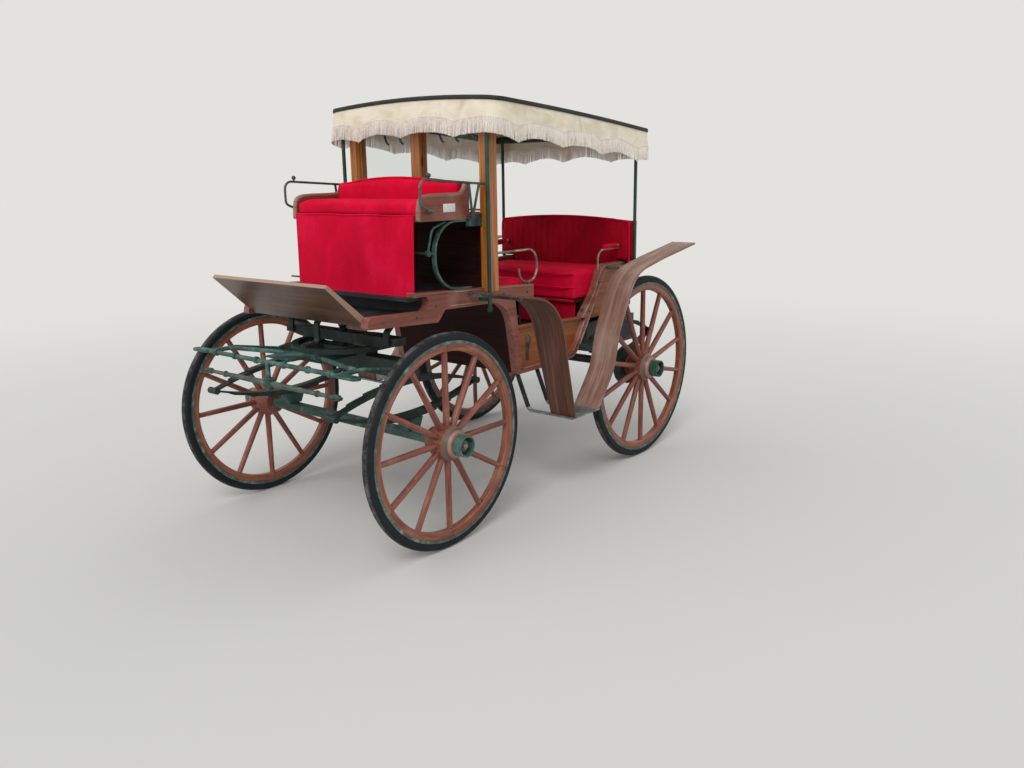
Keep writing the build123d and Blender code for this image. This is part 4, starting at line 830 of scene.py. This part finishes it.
def backPad(name, node, finish, half, shoulder, crest, lower=None, channels=True):
    # A seat back whose top follows one arc, with upright channels sewn into its face
    lo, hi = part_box(node)
    foot = lower[1] if lower else lo.z
    pad = block((-half + 0.006, lo.y + 0.008, foot + 0.004),
                (half - 0.006, hi.y - 0.001, crest - 0.006), 16)
    for corner in pad.data.vertices:
        share = (corner.co.z - foot) / (crest - foot)
        corner.co.z = foot + share * (crestLine(corner.co.x, half, shoulder, crest) - foot)
    if lower:
        # A narrower part goes down between the arms
        base = block((-lower[0], lo.y + 0.010, lo.z + 0.001), (lower[0], hi.y - 0.001, foot + 0.02), 6)
        pad = joined([pad, base])
    swelled(pad, backSizes["voxel"], backSizes["cap"])
    filled(pad, 0, 0, half - 0.0015)
    filled(pad, 2, foot, crest - 0.0015)
    kept(pad, (-half, lo.y - 0.004, lo.z), (half, hi.y, crest + 0.002))
    applied(pad, "SUBSURF", levels=1, render_levels=1)
    if channels:
        for corner in pad.data.vertices:
            place = corner.co
            toEdge = min(1.0, (crestLine(place.x, half, shoulder, crest) - place.z) / 0.05)
            face = min(1.0, max(0.0, (hi.y - 0.03 - place.y) / 0.02))
            groove = math.cos(place.x / backSizes["channelPitch"] * math.tau) ** 12
            place.y += backSizes["channel"] * groove * face * max(0.0, toEdge)
    dressed(pad, name, finish, angle=60)
    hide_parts(node)
    # The piping runs up one side, over the crest and down the other
    y, rise = lo.y + 0.012, shoulder - foot
    line = [Vector((-half + 0.004, y, foot + rise * k / 6)) for k in range(6)]
    line += [Vector((x, y, crestLine(x, half, shoulder, crest) - 0.002))
             for x in (-half + 0.01 + (2 * half - 0.02) * k / 24 for k in range(25))]
    line += [Vector((half - 0.004, y, shoulder - rise * k / 6)) for k in range(1, 7)]
    dressed(tube(line, backSizes["pipe"]), name + "Piping", "velvetBright")


# The rear back is in the deeper velvet: painted shade under the canopy
backPad("rearBack", "rear_bench_back", "velvetPaintedShade", 0.503, 1.410, 1.440, lower=(0.408, 1.166))
backPad("driverBack", "box_back", "velvetBright", 0.430, 1.650, 1.690, channels=False)
print("seat backs made")

apronSizes = {"half": 0.424, "top": 1.512, "foot": 1.142, "hang": 0.013, "thickness": 0.003,
              "hem": 0.003}


def apronShape(u, v):
    # It leans forward towards its foot, in folds that deepen on the way down
    lo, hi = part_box("box_apron")
    x = (u * 2 - 1) * apronSizes["half"]
    down = 1 - v
    z = apronSizes["top"] - down * (apronSizes["top"] - apronSizes["foot"])
    lean = hi.y - 0.004 - down * (hi.y - lo.y - 0.012)
    folds = wavy(x, (11, 0.5, 0.6), (19, 0.30, 2.0), (31, 0.18, 0.3))
    folds = folds * apronSizes["hang"] * down ** 0.8
    sag = 0.004 * math.sin(u * math.pi) * down
    return Vector((x + 0.004 * down * math.sin(u * math.tau), lean + folds - 0.002, z - sag))


apron = grid(110, 60, apronShape)
applied(apron, "SOLIDIFY", thickness=apronSizes["thickness"], offset=0)
dressed(apron, "driverApron", "velvetBright", angle=60)
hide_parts("box_apron")
hemSpots = [(0.004, 1 - k / 12) for k in range(12)]
hemSpots += [(0.004 + 0.992 * k / 36, 0.004) for k in range(37)]
hemSpots += [(0.996, k / 12) for k in range(1, 13)]
hemLine = [apronShape(u, v) for u, v in hemSpots]
apronHem = dressed(tube(hemLine, apronSizes["hem"]), "driverApronHem", "velvetBright")

fallSizes = {"fold": 0.006, "thickness": 0.003, "flat": (0.81, 0.133)}


def fallShape(u, v):
    # It hangs straight, in small folds that deepen on the way down
    lo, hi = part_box("velvet_fall")
    x = lo.x + 0.004 + (hi.x - lo.x - 0.008) * u
    down = 1 - v
    folds = wavy(x, (23, 0.5, 0.2), (41, 0.4, 1.1)) * fallSizes["fold"] * down
    return Vector((x, (lo.y + hi.y) / 2 + folds - 0.002, hi.z - down * (hi.z - lo.z)))


# The fall is in the deeper velvet: painted shade below the bench
fall = grid(90, 16, fallShape)
applied(fall, "SOLIDIFY", thickness=fallSizes["thickness"], offset=0)
dressed(fall, "benchFall", "velvetPaintedShade", angle=60)
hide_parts("velvet_fall")

padSizes = {"in": 0.022, "half": 0.016, "voxel": 0.005, "cap": 0.006}

lo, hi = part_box("arm_pads")
half = padSizes["half"]
pads = []
for side in (-1, 1):
    x = side * (hi.x - padSizes["in"])
    pad = block((x - half, lo.y + 0.004, lo.z + 0.001), (x + half, hi.y - 0.004, hi.z - 0.003), 4)
    pads.append(swelled(pad, padSizes["voxel"], padSizes["cap"]))
pad = joined(pads)
applied(pad, "SUBSURF", levels=1, render_levels=1)
dressed(pad, "armRestPads", "velvetBright", angle=60)
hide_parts("arm_pads")
print("upholstery made")


# Small fittings

def bevelled(piece, width, segments=2):
    with editing(piece):
        bpy.ops.mesh.bevel(offset=width, segments=segments, affect="EDGES")
    return piece


def bar(lo, hi, edge=0.0015):
    return bevelled(block(lo, hi), edge)


def nut(radius, height):
    # A hexagon nut on its washer, with the rounded end of its bolt
    bpy.ops.mesh.primitive_cylinder_add(vertices=6, radius=radius, depth=height,
                                        location=(0, 0, height / 2))
    piece = bevelled(bpy.context.object, radius * 0.12, 1)
    with editing(piece):
        bpy.ops.mesh.primitive_cylinder_add(vertices=14, radius=radius * 1.35, depth=height * 0.3,
                                            location=(0, 0, height * 0.12))
        bpy.ops.mesh.primitive_uv_sphere_add(segments=10, ring_count=6, radius=radius * 0.5,
                                             location=(0, 0, height))
    return settled(piece)


def repeated(piece, spots):
    # Copies of one small piece, each with its own mesh, turned from upright to its own direction
    made = []
    for place, facing in spots:
        twin = piece.copy()
        twin.data = piece.data.copy()
        scene.collection.objects.link(twin)
        turn = Vector(facing).to_track_quat("Z", "Y").to_matrix().to_4x4()
        twin.data.transform(Matrix.Translation(place) @ turn)
        made.append(twin)
    bpy.data.objects.remove(piece)
    return joined(made)


def beside(points, x):
    # Points given as (behind the front axle, height), in the upright plane at x
    return [Vector((x, frontAxle[0] + back, up)) for back, up in points]


# The raised beads along the body's sides
beadSizes = {"out": 0.4545, "radius": 0.0034}
beadLines = [
    [(0.060, 1.157), (0.300, 1.145), (0.650, 1.1275), (0.945, 1.1125)],
    [(0.290, 1.079), (0.450, 1.074), (0.600, 1.070), (0.700, 1.067)],
    [(1.120, 0.650), (1.260, 0.650), (1.362, 0.656), (1.455, 0.788), (1.555, 0.945), (1.650, 1.098),
     (1.690, 1.136), (1.800, 1.136), (1.935, 1.136)],
    [(0.870, 0.669), (1.100, 0.669), (1.260, 0.670), (1.340, 0.684), (1.395, 0.762), (1.450, 0.850)],
    [(1.436, 0.876), (1.500, 0.944), (1.562, 1.014), (1.598, 1.088), (1.640, 1.150), (1.700, 1.158),
     (1.800, 1.158), (1.935, 1.158)],
]
beads = [tube(beside(line, side * beadSizes["out"]), beadSizes["radius"])
         for side in (-1, 1) for line in beadLines]
dressed(joined(beads), "bodyBeads", "rimBrown")

# The rounded wooden rims on the box seat's arms
rimSizes = {"out": 0.4435, "radius": 0.0125}
rimLine = [(0.104, 1.490), (0.107, 1.555), (0.122, 1.592), (0.190, 1.600), (0.340, 1.600),
           (0.398, 1.604), (0.424, 1.636), (0.434, 1.658)]
armRims = [tube(beside(rimLine, side * rimSizes["out"]), rimSizes["radius"], sides=4)
           for side in (-1, 1)]
dressed(joined(armRims), "boxArmRims", "rimBrown")

# A blank plate on the near side of the box seat
plateSizes = {"low": (0.4548, frontAxle[0] + 0.260, 1.524),
              "high": (0.4578, frontAxle[0] + 0.342, 1.563), "edge": 0.001}
dressed(bar(*plateSizes.values()), "blankPlate", "plateWhite")

# The nuts on the body's sides
boltSizes = {"out": 0.4538, "radius": 0.0055, "height": 0.0045}
boltSpots = [(-0.150, 1.058), (0.060, 1.052), (0.190, 1.092), (0.515, 1.098), (0.700, 1.092),
             (0.900, 1.082), (0.812, 0.960), (0.832, 0.800), (0.848, 0.666), (1.180, 0.660),
             (1.500, 0.905), (1.600, 1.062)]
sideBolts = [((side * boltSizes["out"], frontAxle[0] + back, up), (side, 0, 0))
             for side in (-1, 1) for back, up in boltSpots]
dressed(repeated(nut(boltSizes["radius"], boltSizes["height"]), sideBolts), "sideBolts", "nutDark")

axleNutSizes = {"out": 0.7800, "radius": 0.0165, "height": 0.012}


def axleNuts(name, axle, body):
    spots = [((side * axleNutSizes["out"], axle[0], axle[1]), (side, 0, 0)) for side in (-1, 1)]
    piece = nut(axleNutSizes["radius"], axleNutSizes["height"])
    dressed(repeated(piece, spots), name, "armIron", body=body)


axleNuts("frontAxleNuts", frontAxle, "forecarriage")
axleNuts("rearAxleNuts", rearAxle, "carriage_body")

panelSizes = {"face": 0.4262, "y": frontAxle[0] + 0.930, "half": 0.011, "thick": 0.005,
              "low": 0.700, "high": 0.848, "pin": 0.432}
hookLine = [(0.004, 0, 0.838), (0.018, 0, 0.842), (0.024, 0.002, 0.826), (0.018, 0.004, 0.800),
            (0.006, 0.004, 0.780), (0.010, 0.004, 0.760)]
pinLine = [(1.444, 0.852), (1.450, 0.880), (1.460, 0.918)]
pinHead = [(1.452, 0.915), (1.462, 0.920), (1.472, 0.915)]

# The dark strip with its hook on each low panel, and the pin that holds the rear end
made = []
y, half = panelSizes["y"], panelSizes["half"]
for side in (-1, 1):
    face = side * panelSizes["face"]
    lo, hi = sorted((face, face + side * panelSizes["thick"]))
    made.append(bar((lo, y - half, panelSizes["low"]), (hi, y + half, panelSizes["high"])))
    hook = [Vector((face + side * out, y + back, up)) for out, back, up in hookLine]
    made.append(tube(hook, 0.0035))
    made.append(tube(beside(pinLine, side * panelSizes["pin"]), 0.0045))
    made.append(tube(beside(pinHead, side * panelSizes["pin"]), 0.006))
dressed(joined(made), "panelFittings", "nutDark")

paneSizes = {"x": 0.236, "z": 1.7315, "size": (0.412, 0.423, 1), "bead": 0.009, "thick": 0.004,
             "faces": (frontAxle[0] + 0.5735, frontAxle[0] + 0.5825)}

# A thin bead round both panes, in front and behind
rings = []
for side in (-1, 1):
    for y in paneSizes["faces"]:
        bpy.ops.mesh.primitive_plane_add(size=1, location=(side * paneSizes["x"], y, paneSizes["z"]),
                                         rotation=(math.pi / 2, 0, 0))
        ring = bpy.context.object
        ring.scale = paneSizes["size"]
        settled(ring)
        with editing(ring):
            bpy.ops.mesh.inset(thickness=paneSizes["bead"], depth=0)
            bpy.ops.mesh.delete(type="FACE")
        applied(ring, "SOLIDIFY", thickness=paneSizes["thick"], offset=0)
        rings.append(ring)
dressed(joined(rings), "glassBeads", "pineGold")

# The splinter bar's collars, and the ends of the pole that swings below it
barSizes = {"y": frontAxle[0] - 0.440, "z": 0.873, "pole": frontAxle[0] - 0.453, "poleZ": 0.778,
            "collars": (-0.42, -0.27, -0.10, 0.10, 0.27, 0.42), "collar": (0.0165, 0.022),
            "ends": ((0.470, 0.0125, 0.046), (0.340, 0.0150, 0.014)), "ringX": 0.488}


def collar(place, radius, width):
    # A ring round a bar, along X and rounded at its edges
    bpy.ops.mesh.primitive_cylinder_add(vertices=24, radius=radius, depth=width,
                                        rotation=(0, math.pi / 2, 0))
    piece = settled(bevelled(bpy.context.object, width * 0.2))
    piece.data.transform(Matrix.Translation(place))
    return piece


made = [collar((x, barSizes["y"], barSizes["z"]), *barSizes["collar"])
        for x in barSizes["collars"]]
dressed(joined(made), "splinterCollars", "barGreen", body="forecarriage")
ends = []
for side in (-1, 1):
    for x, radius, width in barSizes["ends"]:
        ends.append(collar((side * x, barSizes["pole"], barSizes["poleZ"]), radius, width))
    bpy.ops.mesh.primitive_torus_add(
        major_radius=0.017, minor_radius=0.0035, major_segments=24, minor_segments=8,
        location=(side * barSizes["ringX"], barSizes["pole"] - 0.024, barSizes["poleZ"]))
    ends.append(settled(bpy.context.object))
dressed(joined(ends), "whippletreeRings", "poleGreen", body="whippletree")

tieSizes = {"across": (-0.300, -0.190, 0.105, 0.209, 0.330), "run": 0.120, "radius": 0.006}
tieLine = [(0, 0, 0), (0.002, 0.004, -0.050), (-0.004, 0.010, -0.110), (0.006, 0.016, -0.150),
           (0.020, 0.016, -0.156)]

# Short dark straps hanging from the first roof bar
made = []
for x in tieSizes["across"]:
    top = roofSpot(x, tieSizes["run"], -0.010)
    made.append(tube([top + Vector(spot) for spot in tieLine], tieSizes["radius"]))
dressed(joined(made), "roofTies", "tieBlack")

rearSizes = {"box": frontAxle[0] + 2.040, "hinges": (-0.26, 0.26), "panel": frontAxle[0] + 1.9505,
             "bead": 0.0045}
haspLine = [(0.004, 0.770), (0.022, 0.766), (0.022, 0.746), (0.004, 0.742)]
panelEdge = [(0.462, 0.90), (0.462, 1.10), (0.462, 1.33), (0.458, 1.364), (0.40, 1.377), (0.20, 1.390)]
panelFoot = [(-0.458, 0.885), (-0.20, 0.885), (0.20, 0.885), (0.458, 0.885)]

# Strap hinges and a hasp on the rear box, and a bead round the rear panel: the back is a guess
y = rearSizes["box"]
made = []
for x in rearSizes["hinges"]:
    made.append(bar((x - 0.016, y - 0.001, 0.700), (x + 0.016, y + 0.004, 0.815)))
made.append(bar((-0.020, y - 0.001, 0.735), (0.020, y + 0.005, 0.815)))
made.append(tube([Vector((0, y + back, up)) for back, up in haspLine], 0.003))
dressed(joined(made), "rearBoxFittings", "nutDark")
mirrored = [(-x, z) for x, z in reversed(panelEdge)]
line = [Vector((x, rearSizes["panel"], z))
        for x, z in panelEdge + [(0, 1.394)] + mirrored + panelFoot]
dressed(tube(line, rearSizes["bead"], closed=True), "rearPanelBead", "rimBrown")
print("small fittings made")


# Floor, light and camera

floorSizes = {"half": 40, "near": 2.6, "far": 9.0}

# A pale floor that keeps the shadows and passes into the backdrop's colour far away
bpy.ops.mesh.primitive_plane_add(size=2 * floorSizes["half"], location=(0, 0, 0))
floor = bpy.context.object
floor.name = "floor"
f = Finish("floorPale")
x, y, z = f.split(f.place())
away = (x * x + y * y).worked("SQRT")
cloud = f.noise(0.8, 3, 0.5)
near = f.node("BsdfDiffuse", {"Color": f.mix(cloud * 0.2, "d9d7d2", "cfcdc8")})
far = f.node("Emission", {"Color": "e3e2de"})
share = f.step(away, floorSizes["near"], floorSizes["far"])
faded = f.node("MixShader", {0: share, 1: near, 2: far})
f.node("OutputMaterial", {"Surface": faded})
floor.data.materials.append(f.owner)

# A pale backdrop is seen, and a softer sky lights the carriage
skySizes = {"lit": (0.94, 0.97, 1.0, 1), "litStrength": 0.52, "seen": "e3e2de"}
sky = Finish("softSky", bpy.data.worlds.new("softSky"))
scene.world = sky.owner
seen = sky.node("LightPath", out="Is Camera Ray")
for ray in ("Is Transmission Ray", "Is Glossy Ray"):
    seen = seen.worked("MAXIMUM", sky.node("LightPath", out=ray))
lighting = sky.node("Background", {"Color": skySizes["lit"], "Strength": skySizes["litStrength"]})
backdrop = sky.node("Background", {"Color": skySizes["seen"]})
sky.node("OutputWorld", {"Surface": sky.node("MixShader", {0: seen, 1: lighting, 2: backdrop})})

lamps = {
    "keySun": {"turn": (46, 0, 30), "power": 1.35, "spread": 30},
    "fillSun": {"turn": (52, 0, -50), "power": 0.5, "spread": 60},
    "backSun": {"turn": (50, 0, 170), "power": 0.4, "spread": 60},
}
for name, lamp in lamps.items():
    bpy.ops.object.light_add(type="SUN", location=(0, 0, 5))
    light = bpy.context.object
    light.name = name
    light.data.angle = math.radians(lamp["spread"])
    light.data.energy = lamp["power"]
    light.rotation_euler = [math.radians(angle) for angle in lamp["turn"]]

view = {"lens": 30.448, "sensor": 36, "place": (3.277, -3.668, 1.676), "azimuth": 38.649,
        "down": 13.376, "roll": -0.814}
bpy.ops.object.camera_add(location=view["place"])
camera = bpy.context.object
camera.data.sensor_width = view["sensor"]
camera.data.lens = view["lens"]
facing = Matrix.Rotation(math.radians(view["azimuth"]), 4, "Z")
facing = facing @ Matrix.Rotation(math.radians(90 - view["down"]), 4, "X")
facing = facing @ Matrix.Rotation(math.radians(view["roll"]), 4, "Z")
camera.rotation_euler = facing.to_euler()
scene.camera = camera
print("light and camera set")
